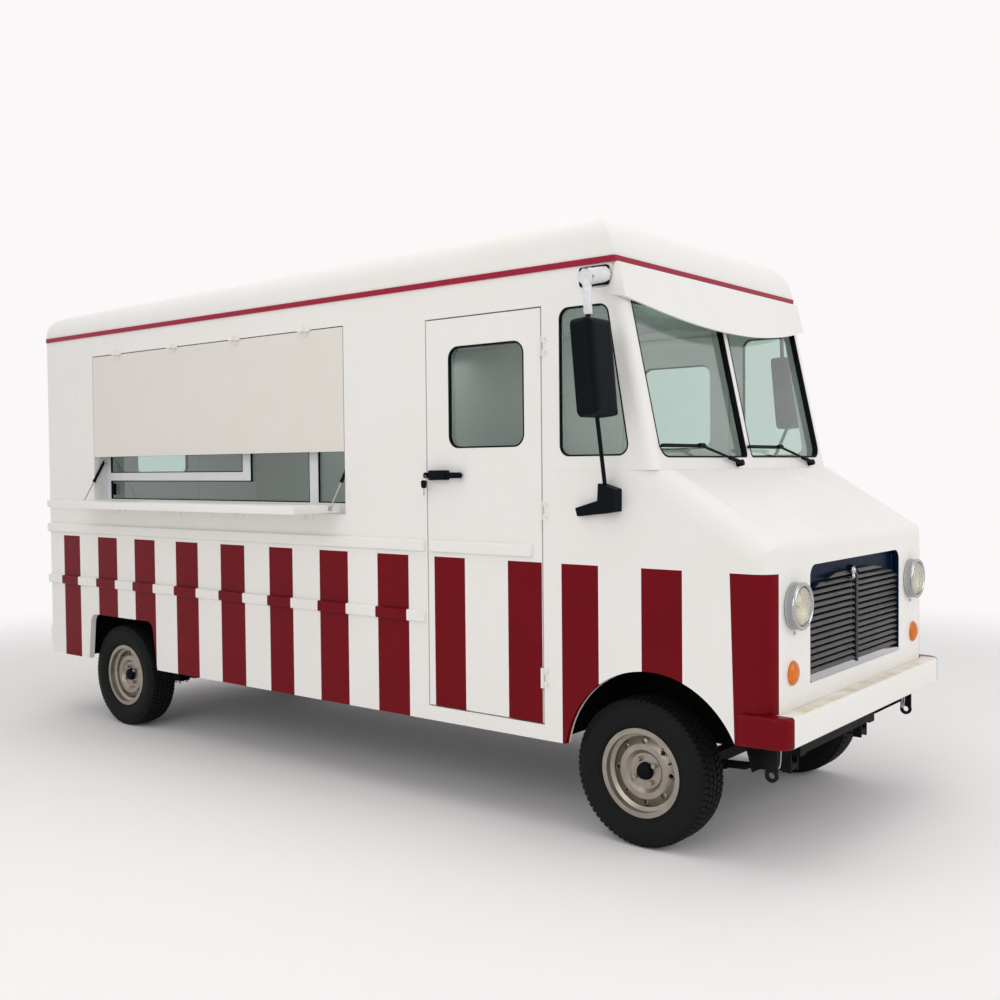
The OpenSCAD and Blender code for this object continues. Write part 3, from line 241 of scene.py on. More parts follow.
@dataclass(frozen=True)
class StripedPaint(Finish):
    """Sprayed enamel with upright coloured stripes below the rub rail, on the outer skin alone."""

    stripe: str = "#690411"
    stripe_other: str = "#760614"
    stripe_mm: float = 400
    edges: tuple[Point2, ...] = ()
    along: str = "X"
    span: Point2 = (-2.8, 2.8)
    top: float = 1.224
    skin: str = "Y"
    skin_from: float = 0.872
    corner: tuple[float, float, float] | None = None
    corner_lean: float = 0.0
    dust_and_shade: str = ""
    dust_and_shade_mm: float = 110
    dust_and_shade_to: float = 0.81

    def pattern(self, tree: NodeTree, place: NodeSocket, base: NodeSocket) -> NodeSocket:
        """Mix the stripe colour over the base.

        Args:
            tree: Node tree of the material.
            place: Object coordinates.
            base: Colour under the stripes.

        Returns:
            The mixed colour.
        """
        axes = add_node(tree, "ShaderNodeSeparateXYZ", {}, {"Vector": place}).outputs
        low, high = self.span
        run = add_node(tree, "ShaderNodeMapRange", {}, {"Value": axes[self.along], "From Min": low, "From Max": high})
        ramp = add_node(tree, "ShaderNodeValToRGB", {}, {"Fac": run.outputs["Result"]})
        stops = ramp.color_ramp
        stops.interpolation = "CONSTANT"
        stops.elements.remove(stops.elements[1])
        stops.elements[0].position = 0.0
        stops.elements[0].color = (0, 0, 0, 1)
        for start, end in self.edges:
            for place_at, tone in ((start, 1.0), (end, 0.0)):
                stop = stops.elements.new((place_at - low) / (high - low))
                stop.color = (tone, tone, tone, 1)
        reach = add_node(tree, "ShaderNodeMath", {"operation": "ABSOLUTE"}, {0: axes[self.skin]}).outputs[0]
        limits = ((reach, "GREATER_THAN", self.skin_from), (axes["Z"], "LESS_THAN", self.top))
        mask = self._within(tree, ramp.outputs["Color"], limits)
        if self.corner:
            either = {0: mask, 1: self._corner(tree, axes)}
            mask = add_node(tree, "ShaderNodeMath", {"operation": "MAXIMUM"}, either).outputs[0]
        drift = {"Vector": place, "Scale": per_metre(self.stripe_mm), "Detail": 4.0}
        tint = add_node(tree, "ShaderNodeTexNoise", {}, drift)
        reds = {"Factor": tint.outputs["Fac"], 6: linear(self.stripe), 7: linear(self.stripe_other)}
        red = add_node(tree, "ShaderNodeMix", {"data_type": "RGBA"}, reds)
        layers = {"Factor": mask, 6: base, 7: red.outputs[2]}
        painted = add_node(tree, "ShaderNodeMix", {"data_type": "RGBA"}, layers).outputs[2]
        return self._dusted(tree, place, painted) if self.dust_and_shade else painted

    def _dusted(self, tree: NodeTree, place: NodeSocket, painted: NodeSocket) -> NodeSocket:
        """Lay drifts of a beige tint on what faces up, clear of the red ends: road dust and painted shade along the
        top.

        Args:
            tree: Node tree of the material.
            place: Object coordinates.
            painted: Colour of the paint.

        Returns:
            The dusty colour.
        """
        normal = add_node(tree, "ShaderNodeNewGeometry", {}, {}).outputs["Normal"]
        upward = add_node(tree, "ShaderNodeSeparateXYZ", {}, {"Vector": normal}).outputs["Z"]
        level = add_node(tree, "ShaderNodeMapRange", {}, {"Value": upward, "From Min": 0.6, "From Max": 0.95})
        drift = {"Vector": place, "Scale": per_metre(self.dust_and_shade_mm), "Detail": 5.0}
        noise = add_node(tree, "ShaderNodeTexNoise", {}, drift)
        patches = {"Value": noise.outputs["Fac"], "From Min": 0.38, "From Max": 0.66, "To Max": 0.8}
        patchy = add_node(tree, "ShaderNodeMapRange", {}, patches)
        across = add_node(tree, "ShaderNodeSeparateXYZ", {}, {"Vector": place}).outputs["Y"]
        wide = add_node(tree, "ShaderNodeMath", {"operation": "ABSOLUTE"}, {0: across}).outputs[0]
        both = {0: level.outputs["Result"], 1: patchy.outputs["Result"]}
        share = add_node(tree, "ShaderNodeMath", {"operation": "MULTIPLY"}, both).outputs[0]
        share = self._within(tree, share, ((wide, "LESS_THAN", self.dust_and_shade_to),))
        # The beige mixed in here is road dust and painted shade on the upward faces.
        layers = {"Factor": share, 6: painted, 7: linear(self.dust_and_shade)}
        return add_node(tree, "ShaderNodeMix", {"data_type": "RGBA"}, layers).outputs[2]

    def _corner(self, tree: NodeTree, axes: Any) -> NodeSocket:
        """Mask of the stripe that is wrapped round the front corners, with a leaning rear edge.

        Args:
            tree: Node tree of the material.
            axes: Outputs of X, Y and Z.

        Returns:
            The mask, 0 or 1.
        """
        x_from, y_from, z_top = self.corner
        wide = add_node(tree, "ShaderNodeMath", {"operation": "ABSOLUTE"}, {0: axes["Y"]}).outputs[0]
        slanted = {0: axes["Z"], 1: self.corner_lean, 2: axes["X"]}
        ahead = add_node(tree, "ShaderNodeMath", {"operation": "MULTIPLY_ADD"}, slanted).outputs[0]
        limits = (
            (ahead, "GREATER_THAN", x_from + z_top * self.corner_lean),
            (wide, "GREATER_THAN", y_from),
            (axes["Z"], "LESS_THAN", z_top),
        )
        return self._within(tree, 1.0, limits)

    @staticmethod
    def _within(
        tree: NodeTree, mask: NodeSocket | float, limits: Sequence[tuple[NodeSocket, str, float]]
    ) -> NodeSocket:
        """Keep a mask only where every measure passes its test.

        Args:
            tree: Node tree of the material.
            mask: The mask so far.
            limits: Measure, test and limit of each condition.

        Returns:
            The narrower mask.
        """
        for measure, test, limit in limits:
            passed = add_node(tree, "ShaderNodeMath", {"operation": test}, {0: measure, 1: limit}).outputs[0]
            mask = add_node(tree, "ShaderNodeMath", {"operation": "MULTIPLY"}, {0: mask, 1: passed}).outputs[0]
        return mask


@dataclass(frozen=True)
class BubbleFoil(Finish):
    """Silvered insulating foil with rows of small bubbles under it."""

    def height(self, tree: NodeTree, place: NodeSocket) -> NodeSocket:
        """Height of the bubbles, one to each cell of an even grid."""
        cells = {"Vector": place, "Scale": per_metre(self.grain_mm), "Randomness": 0.12}
        return add_node(tree, "ShaderNodeTexVoronoi", {"feature": "SMOOTH_F1"}, cells).outputs["Distance"]


@dataclass(frozen=True)
class Glazing(Finish):
    """Glass that lets the light through to what is behind it, plain or with upright flutes."""

    flute_mm: float = 0.0

    def _make(self) -> bpy.types.Material:
        """Make the material.

        Returns:
            A transmitting material.
        """
        made = self._blank()
        tree = made.node_tree
        clear_glass = {
            "Base Color": linear(self.colour),
            "Roughness": self.roughness,
            "Transmission Weight": 1.0,
            "IOR": 1.5,
        }
        shader = add_node(tree, "ShaderNodeBsdfPrincipled", {}, clear_glass)
        if self.flute_mm:
            place = add_node(tree, "ShaderNodeTexCoord", {}, {}).outputs["Object"]
            self.relief_nodes(tree, place, shader)
        path = add_node(tree, "ShaderNodeLightPath", {}, {})
        clear = add_node(tree, "ShaderNodeBsdfTransparent", {}, {"Color": linear(self.other)})
        parts = {0: path.outputs["Is Shadow Ray"], 1: shader.outputs["BSDF"], 2: clear.outputs["BSDF"]}
        mix = add_node(tree, "ShaderNodeMixShader", {}, parts)
        add_node(tree, "ShaderNodeOutputMaterial", {}, {"Surface": mix.outputs["Shader"]})
        return made

    def height(self, tree: NodeTree, place: NodeSocket) -> NodeSocket:
        """Height of the upright flutes; a wave's bands are a twentieth of its unit wide."""
        bands = {"Vector": place, "Scale": per_metre(self.flute_mm) / 20 * math.pi}
        return add_node(tree, "ShaderNodeTexWave", {"bands_direction": "Y"}, bands).outputs["Fac"]


BOX_STRIPES: tuple[Point2, ...] = (
    (-2.513, -2.309),
    (-2.086, -1.878),
    (-1.664, -1.456),
    (-1.227, -1.026),
    (-0.797, -0.589),
    (-0.357, -0.160),
    (0.064, 0.274),
    (0.500, 0.712),
)
DOOR_STRIPES: tuple[Point2, ...] = ((0.881, 1.090), (1.352, 1.553))
NOSE_STRIPES: tuple[Point2, ...] = ((1.658, 1.853), (2.073, 2.271))
REAR_STRIPES: tuple[Point2, ...] = ((-0.74, -0.535), (-0.32, -0.115), (0.10, 0.305), (0.52, 0.725))

# Enamel sprayed on sheet steel: a soft gloss, with a faint orange peel and a slow drift of warmth
ENAMEL = {
    "colour": "#F1F0ED",
    "other": "#EDEAE5",
    "roughness": 0.3,
    "specular": 0.09,
    "grain_mm": 7,
    "grain_depth_mm": 0.02,
}
WHITE = Finish("white_enamel", **ENAMEL)
STRIPED_BOX = StripedPaint("striped_enamel_box", **ENAMEL, edges=BOX_STRIPES)
STRIPED_DOOR = StripedPaint("striped_enamel_doors", **ENAMEL, edges=DOOR_STRIPES)
STRIPED_NOSE = StripedPaint(
    "striped_enamel_nose", **ENAMEL, edges=NOSE_STRIPES, corner=(2.492, 0.822, 1.224), corner_lean=0.0276
)
STRIPED_REAR = StripedPaint(
    "striped_enamel_rear", **ENAMEL, edges=REAR_STRIPES, along="Y", span=(-1.0, 1.0), skin="X", skin_from=2.655
)
# The same enamel on the bumper, with a yellow tint in patches along its top: road dust and painted shade
BUMPER = StripedPaint("bumper_enamel", **ENAMEL, top=0.1, corner=(2.3, 0.853, 1.19), dust_and_shade="#DAC7A4")
# Primed board left in its buff undercoat: flat, a little dusty
HATCH = Finish("buff_enamel", "#E7E2DC", "#E2DCD4", 0.5, specular=0.2, grain_mm=9, grain_depth_mm=0.04)
# Extruded aluminium band in two-pack paint: an even crimson with a soft gloss
BAND = Finish("crimson_trim", "#A31A38", "#8F1530", 0.32, specular=0.2, grain_mm=12)
# Moulded ABS: black, with a fine leather-like grain that scatters the light
PLASTIC = Finish(
    "grained_black_abs", "#080C10", "#0F1418", 0.5, specular=0.055, grain_mm=1.6, grain_depth_mm=0.12
)
# Extruded rubber: black and smooth, greying a little where it is handled
RUBBER = Finish(
    "black_epdm_rubber", "#0B0D0F", "#131517", 0.55, specular=0.08, grain_mm=3, grain_depth_mm=0.05
)
# Cured tyre rubber: dull, with the dust of the road in it
TYRE = Finish(
    "cured_tyre_rubber", "#121414", "#1C1D1D", 0.66, specular=0.1, grain_mm=4, grain_depth_mm=0.15, mottle_mm=60
)
# Chromed brass: a mirror, a little grey, with the odd soft ripple
CHROME = Finish("chrome_plate", "#B9BBBD", "#A3A6A8", 0.1, metallic=1.0, spread=0.04, grain_mm=40)
# Vacuum-silvered lamp bowl: a warm mirror
SILVERED = Finish(
    "silvered_bowl", "#DDD8CB", "#C8C1B0", 0.2, metallic=1.0, spread=0.05, grain_mm=9, grain_depth_mm=0.2
)
# Frosted bulb glass: pale and even
OPAL = Finish("opal_glass", "#F3EEDF", "#EDE6D2", 0.3, grain_mm=3)
# Pressed steel louvres in grey lacquer: satin; its darker grey is painted shade meant for the folds, laid in random
# patches
LOUVRE = Finish(
    "grey_lacquered_steel", "#4F5150", "#363837", 0.3, metallic=0.8, mottle_mm=60, grain_mm=3, grain_depth_mm=0.05
)
# Bright zinc plating: a cool satin with cloudy crystals
ZINC = Finish("zinc_plated_steel", "#B9BCBE", "#A2A6A8", 0.34, metallic=1.0, mottle_mm=18, grain_mm=6)
# Wheel paint with fine aluminium flake: a warm silver that darkens as it turns away
WHEEL = Finish(
    "silver_wheel_paint", "#ABA499", "#867E73", 0.33, metallic=0.75, mottle_mm=70, grain_mm=3, grain_depth_mm=0.04
)
# Brushed black chassis paint, dulled by dust
STEEL = Finish(
    "black_painted_steel", "#121416", "#1C1B1A", 0.62, specular=0.1, mottle_mm=120, grain_depth_mm=0.15
)
# Sprayed bitumen: matt, with a coarse stipple
LINER = Finish(
    "black_underseal", "#0C0D0E", "#161615", 0.85, specular=0.05, mottle_mm=90, grain_mm=8, grain_depth_mm=0.8
)
# Vinyl film on board: deep blue with a soft gloss
NAVY = Finish(
    "navy_film", "#06203A", "#04182B", 0.3, specular=0.03, mottle_mm=80, grain_mm=30, grain_depth_mm=0.1
)
# Powder coat on aluminium bars: an even cool white
FRAME_WHITE = Finish("white_powder_coat", "#E9EAEA", "#E2E3E4", 0.42, grain_mm=2, grain_depth_mm=0.04)
# Dyed acrylic with pressed prisms: bright and uneven; its lighter amber, laid in random patches, is painted light
# shining through the lens
AMBER = Finish(
    "amber_acrylic", "#C24A03", "#EC8A1C", 0.16, specular=0.3, mottle_mm=34, grain_mm=9, grain_depth_mm=0.7
)
# Red acrylic of the tail lamps, with finer prisms
RED_LENS = Finish("red_acrylic", "#8E0E12", "#A5161A", 0.16, specular=0.3, mottle_mm=14, grain_depth_mm=0.5)
# Clear acrylic over a white reflector: pale grey
WHITE_LENS = Finish("clear_acrylic", "#D9DAD6", "#C6C8C6", 0.16, coat=0.5, mottle_mm=14, grain_depth_mm=0.5)
# Silvered glass: a clean mirror
MIRROR = Finish(
    "silvered_glass", "#CDD3D6", "#C4CBCF", 0.04, metallic=1.0, spread=0.02, grain_mm=90, grain_depth_mm=0.01
)
# Calendered vinyl over foam: a pebbled grain with a soft sheen
VINYL = Finish("black_seat_vinyl", "#222326", "#2B2C30", 0.5, specular=0.3, grain_mm=2.4, grain_depth_mm=0.25)
# Moulded dash skin: grey, with a close grain that keeps it from shining
DASH = Finish("grey_moulded_dash", "#4A4D4F", "#55585A", 0.6, specular=0.3, grain_mm=2, grain_depth_mm=0.15)
# Stainless sheet: bright, with the streaks of brushing drawn as a fine mottle
STAINLESS = Finish("brushed_stainless", "#C9CBCB", "#B8BBBC", 0.3, metallic=1.0, mottle_mm=30, grain_mm=2)
# Vinyl floor sheet: grey and scuffed
FLOORING = Finish("grey_vinyl_sheet", "#6B6C6C", "#5E5F60", 0.7, grain_mm=4, grain_depth_mm=0.1, mottle_mm=60)
# Painted battery case: a dull blue grey
CASE = Finish("grey_battery_case", "#5A6066", "#4C5257", 0.55, metallic=0.2)
# Bubble foil: a broken mirror of the windows; bubbles of 12 mm are drawn as they are
FOIL = BubbleFoil(
    "silver_bubble_foil", "#D4DAD9", "#BCC6C6", 0.24, metallic=0.6, mottle_mm=90, grain_mm=12, grain_depth_mm=1.6
)
# Shrink-wrapped sleeve: thin white film, creased across
SLEEVE = Finish(
    "white_film_sleeve", "#E9EAEA", "#DADCDD", 0.35, mottle_mm=30, grain_mm=14, grain_depth_mm=1.2
)
# Float glass: clear, with a green body colour that shows in the cab behind it
WINDOW = Glazing("tinted_float_glass", "#D5E5DF", "#DCEAE5", 0.0)
# Pressed lamp glass: its flutes of 9 mm break up the bowl behind
LENS = Glazing("fluted_lamp_glass", "#F7F7F1", "#F7F7F1", 0.02, flute_mm=9, grain_depth_mm=0.3)

NODE_FINISHES: tuple[tuple[Finish, tuple[str, ...]], ...] = (
    (STRIPED_BOX, ("side_wall_right", "side_wall_left")),
    (STRIPED_DOOR, ("door_right", "door_left")),
    (STRIPED_NOSE, ("nose",)),
    (STRIPED_REAR, ("rear_wall", "door_rear")),
    (WHITE, ("roof", "screen_frame", "visor", "shelf", "rear_bumper", "hinge_leaves")),
    (BUMPER, ("front_bumper",)),
    (HATCH, ("hatch",)),
    (BAND, ("roof_band",)),
    (WINDOW, ("windscreen_glass", "quarter_glass", "serving_glass")),
    (WINDOW, ("door_glass_right", "door_glass_left", "door_glass_rear")),
    (PLASTIC, ("mirrors", "wipers", "steering_column", "steering_wheel")),
    (PLASTIC, ("handle_right", "handle_left", "handle_rear")),
    (PLASTIC, ("strut_tube_rear", "strut_tube_front")),
    (CHROME, ("headlamps", "strut_rod_rear", "strut_rod_front")),
    (LOUVRE, ("grille",)),
    (LENS, ("lamp_lenses",)),
    (AMBER, ("indicators",)),
    (RED_LENS, ("tail_lamps",)),
    (MIRROR, ("mirror_glass",)),
    (NAVY, ("grille_backing",)),
    (FRAME_WHITE, ("serving_window",)),
    (VINYL, ("seats",)),
    (DASH, ("dashboard",)),
    (STAINLESS, ("kitchen_counter",)),
    (FLOORING, ("floor",)),
    (CASE, ("battery_pack",)),
    (LINER, ("wheelhouses",)),
    (STEEL, ("chassis_frame", "front_axle", "rear_axle", "knuckle_left", "knuckle_right")),
    (TYRE, ("tyre_front_right", "tyre_front_left", "tyre_rear_right", "tyre_rear_left")),
    (WHEEL, ("rim_front_right", "rim_front_left", "rim_rear_right", "rim_rear_left")),
)


# Modelling by operators


def rest() -> None:
    """Leave edit mode and deselect everything."""
    if bpy.context.object and bpy.context.object.mode != "OBJECT":
        bpy.ops.object.mode_set(mode="OBJECT")
    bpy.ops.object.select_all(action="DESELECT")


def pick(obj: Piece, what: Part, test: Callable[[Any], bool]) -> None:
    """Open a mesh in edit mode with only some of it selected.

    Args:
        obj: The mesh object, which becomes active.
        what: Whether vertices, edges or faces are tested.
        test: Says whether a bmesh element is selected.
    """
    rest()
    obj.select_set(True)
    bpy.context.view_layer.objects.active = obj
    bpy.ops.object.mode_set(mode="EDIT")
    bpy.context.tool_settings.mesh_select_mode = tuple(i == what.value for i in range(3))
    bpy.ops.mesh.select_all(action="DESELECT")
    mesh = bmesh.from_edit_mesh(obj.data)
    for item in (mesh.verts, mesh.edges, mesh.faces)[what.value]:
        if test(item):
            item.select_set(True)
    mesh.select_flush_mode()
    bmesh.update_edit_mesh(obj.data)


def everything(item: Any) -> bool:
    """Select all."""
    return True


def modify(obj: Piece, kind: str, **settings: Any) -> None:
    """Add a modifier and apply it.

    Args:
        obj: The mesh object.
        kind: Blender's name of the modifier's kind.
        **settings: Its settings.
    """
    rest()
    bpy.context.view_layer.objects.active = obj
    modifier = obj.modifiers.new(kind.lower(), kind)
    for key, value in settings.items():
        setattr(modifier, key, value)
    bpy.ops.object.modifier_apply(modifier=modifier.name)


def bevel_edges(obj: Piece, width: float, segments: int = 2, angle: float = 35) -> None:
    """Round the edges that are sharper than an angle in degrees."""
    modify(obj, "BEVEL", width=width, segments=segments, limit_method="ANGLE", angle_limit=math.radians(angle))


def finish_piece(
    obj: Piece,
    name: str,
    finish: Finish,
    body: str,
    place: Matrix | None = None,
    smooth: float = 38,
) -> Piece:
    """Name a finished piece, put its place into its mesh, dress it and hang it on a body.

    Args:
        obj: The modelled object.
        name: Name of the piece.
        finish: Its finish.
        body: Body that it moves with.
        place: Where it goes, if it was modelled about the origin.
        smooth: Edges sharper than this many degrees stay sharp.

    Returns:
        The piece.
    """
    rest()
    obj.data.transform(place @ obj.matrix_world if place else obj.matrix_world)
    obj.matrix_world = Matrix.Identity(4)
    obj.name = obj.data.name = name
    pick(obj, Part.FACE, everything)
    bpy.ops.mesh.normals_make_consistent(inside=False)
    rest()
    obj.select_set(True)
    bpy.context.view_layer.objects.active = obj
    bpy.ops.object.shade_smooth_by_angle(angle=math.radians(smooth))
    obj.data.materials.clear()
    obj.data.materials.append(finish.material())
    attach(obj, body)
    LOG.info("%s: %d faces on %s", name, len(obj.data.polygons), body)
    return obj


def started(operator: Callable[..., Any], **settings: Any) -> Piece:
    """Add a primitive with nothing else selected and give its object."""
    rest()
    operator(**settings)
    return bpy.context.object


def loop_of(points: Sequence[Point2]) -> Piece:
    """Give a flat closed loop of edges through points."""
    loop = started(bpy.ops.mesh.primitive_circle_add, vertices=len(points), radius=1.0)
    for vert, (u, v) in zip(loop.data.vertices, points):
        vert.co = (u, v, 0.0)
    return loop


def join(pieces: Sequence[Piece]) -> Piece:
    """Join objects into the first one."""
    rest()
    for piece in pieces:
        piece.select_set(True)
    bpy.context.view_layer.objects.active = pieces[0]
    bpy.ops.object.join()
    return pieces[0]


def copy_piece(source: Piece) -> Piece:
    """Give a new object with a copy of another one's mesh."""
    twin = bpy.data.objects.new(source.name, source.data.copy())
    bpy.context.collection.objects.link(twin)
    return twin


def stamp(model: Piece, places: Sequence[Matrix]) -> Piece:
    """Copy a model to each of several places and join the copies.

    Args:
        model: The model, which is used up.
        places: Where the copies go.

    Returns:
        The joined copies.
    """
    copies = []
    for place in places:
        twin = copy_piece(model)
        twin.data.transform(place)
        copies.append(twin)
    bpy.data.objects.remove(model)
    return join(copies)


def softened(node: str, width: float, segments: int, angle: float) -> Piece:
    """Copy a solid, merge its triangles into faces and round its edges.

    Args:
        node: Name of the solid.
        width: Width of the rounding.
        segments: Steps of the rounding.
        angle: Edges sharper than this many degrees are rounded.

    Returns:
        The copy.
    """
    twin = copy_piece(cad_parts[node])
    pick(twin, Part.VERT, everything)
    bpy.ops.mesh.customdata_custom_splitnormals_clear()
    bpy.ops.mesh.remove_doubles(threshold=2e-5)
    bpy.ops.mesh.dissolve_limited(angle_limit=math.radians(1.0))
    rest()
    bevel_edges(twin, width, segments, angle)
    return twin


def soft_outline(corners: Sequence[Point2], radius: float, steps: int = 8) -> list[Point2]:
    """Round the corners of an outline.

    Args:
        corners: Corner centres, anticlockwise.
        radius: Radius about each centre.
        steps: Steps in each corner.

    Returns:
        Points of the outline.
    """
    points: list[Point2] = []
    count = len(corners)
    for i, (u, v) in enumerate(corners):
        before, after = corners[i - 1], corners[(i + 1) % count]
        a0 = math.atan2(before[0] - u, v - before[1])
        a1 = math.atan2(u - after[0], after[1] - v)
        while a1 < a0 - 1e-6:
            a1 += math.tau
        for k in range(steps + 1):
            a = a0 + (a1 - a0) * k / steps
            points.append((u + radius * math.cos(a), v + radius * math.sin(a)))
    return points


def box_outline(
    low: Point2, high: Point2, radii: Sequence[float], inset: float = 0.0, steps: int = 8
) -> list[Point2]:
    """Outline of a box with its own radius at each corner.

    Args:
        low: Lower left corner.
        high: Upper right corner.
        radii: Radii from the lower left corner, anticlockwise.
        inset: How far the outline is drawn in.
        steps: Steps in each corner.

    Returns:
        Points of the outline.
    """
    points: list[Point2] = []
    for i, radius in enumerate(radii):
        u = low[0] + radius if i in (0, 3) else high[0] - radius
        v = low[1] + radius if i < 2 else high[1] - radius
        r = max(radius - inset, 0.0005)
        for k in range(steps + 1):
            a = math.pi * (1 + 0.5 * i + 0.5 * k / steps)
            points.append((u + r * math.cos(a), v + r * math.sin(a)))
    return points


def corner_centres(low: Point2, high: Point2, radius: float) -> list[Point2]:
    """Centres of the corners of a box that all have one radius, anticlockwise."""
    u0, v0, u1, v1 = low[0] + radius, low[1] + radius, high[0] - radius, high[1] - radius
    return [(u0, v0), (u1, v0), (u1, v1), (u0, v1)]


def ring(outer: Sequence[Point2], inner: Sequence[Point2], height: float, soft: float) -> Piece:
    """Model a flat ring between two outlines, raised from zero to a height, with soft edges.

    Args:
        outer: Outer outline.
        inner: Inner outline with as many points.
        height: How far it is raised.
        soft: Width of the rounding of its edges.

    Returns:
        The ring about its own origin.
    """
    flat = join([loop_of(outer), loop_of(inner)])
    pick(flat, Part.EDGE, everything)
    bpy.ops.mesh.bridge_edge_loops()
    return raised(flat, height, soft)


def box_ring(
    low: Point2, high: Point2, wall: float, radii: Point2, height: float, soft: float, steps: int = 8
) -> Piece:
    """Model a flat ring inside a box.

    Args:
        low: Lower left corner outside.
        high: Upper right corner outside.
        wall: Width of the ring.
        radii: Corner radius outside and inside.
        height: How far it is raised.
        soft: Width of the rounding of its edges.
        steps: Steps in each corner.

    Returns:
        The ring about its own origin.
    """
    inner_low, inner_high = (low[0] + wall, low[1] + wall), (high[0] - wall, high[1] - wall)
    outer = box_outline(low, high, (radii[0],) * 4, steps=steps)
    return ring(outer, box_outline(inner_low, inner_high, (radii[1],) * 4, steps=steps), height, soft)


def prism(outline: Sequence[Point2], height: float, soft: float) -> Piece:
    """Model a plate of an outline, raised from zero to a height, with soft edges."""
    flat = loop_of(outline)
    pick(flat, Part.EDGE, everything)
    bpy.ops.mesh.edge_face_add()
    return raised(flat, height, soft)


def raised(flat: Piece, height: float, soft: float) -> Piece:
    """Raise a flat face to a height and round its edges."""
    pick(flat, Part.FACE, everything)
    bpy.ops.mesh.extrude_region_move(TRANSFORM_OT_translate={"value": (0, 0, height)})
    pick(flat, Part.FACE, everything)
    bpy.ops.mesh.normals_make_consistent(inside=False)
    rest()
    bevel_edges(flat, soft, 3, 50)
    return flat


def lathe(profile: Sequence[Point2], steps: int) -> Piece:
    """Spin a profile of radius and height about Z.

    Args:
        profile: Radius and height of each point.
        steps: Steps in the full turn.

    Returns:
        The spun shape about its own origin.
    """
    rest()
    mesh = bpy.data.meshes.new("profile")
    mesh.from_pydata([(r, 0, h) for r, h in profile], [(i, i + 1) for i in range(len(profile) - 1)], [])
    obj = bpy.data.objects.new("profile", mesh)
    bpy.context.collection.objects.link(obj)
    pick(obj, Part.VERT, everything)
    bpy.ops.mesh.spin(steps=steps, angle=math.tau, center=(0, 0, 0), axis=(0, 0, 1))
    pick(obj, Part.VERT, everything)
    bpy.ops.mesh.remove_doubles(threshold=1e-5)
    rest()
    return obj


def soft_box(low: Point3, high: Point3, soft: float, segments: int = 2) -> Piece:
    """Model a box between two corners with rounded edges."""
    box = started(bpy.ops.mesh.primitive_cube_add, size=1.0, location=(Vector(low) + Vector(high)) / 2)
    box.scale = Vector(high) - Vector(low)
    bpy.ops.object.transform_apply(location=True, rotation=True, scale=True)
    bevel_edges(box, soft, segments)
    return box


def tube(points: Sequence[Point3], radius: float, closed: bool = False) -> Piece:
    """Model a round tube along points.

    Args:
        points: The line it follows.
        radius: Its radius.
        closed: Whether its ends meet.

    Returns:
        The tube as a mesh.
    """
    path = started(bpy.ops.curve.primitive_nurbs_path_add)
    path.data.splines.clear()
    line = path.data.splines.new("POLY")
    line.points.add(len(points) - 1)
    for point, co in zip(line.points, points):
        point.co = (*co, 1.0)
    line.use_cyclic_u = closed
    path.data.bevel_depth = radius
    path.data.bevel_resolution = 3
    path.data.use_fill_caps = not closed
    path.location = (0, 0, 0)
    bpy.ops.object.convert(target="MESH")
    return bpy.context.object


def arc(a: Point3, corner: Point3, b: Point3, steps: int = 8) -> list[Point3]:
    """Points of a smooth bend from a to b round a corner."""
    first, middle, last = Vector(a), Vector(corner), Vector(b)
    shares = [k / steps for k in range(steps + 1)]
    return [tuple(first * (1 - t) ** 2 + middle * 2 * t * (1 - t) + last * t * t) for t in shares]


def screw(radius: float) -> Piece:
    """Model a domed screw head with a socket, standing on zero."""
    socket = [(0, 0.2), (0.32, 0.2), (0.4, 0.5)]
    dome = [(0.75, 0.42), (1, 0.12), (1, -0.1)]
    return lathe([(radius * r, radius * h) for r, h in socket + dome], 12)


# Sub-assemblies


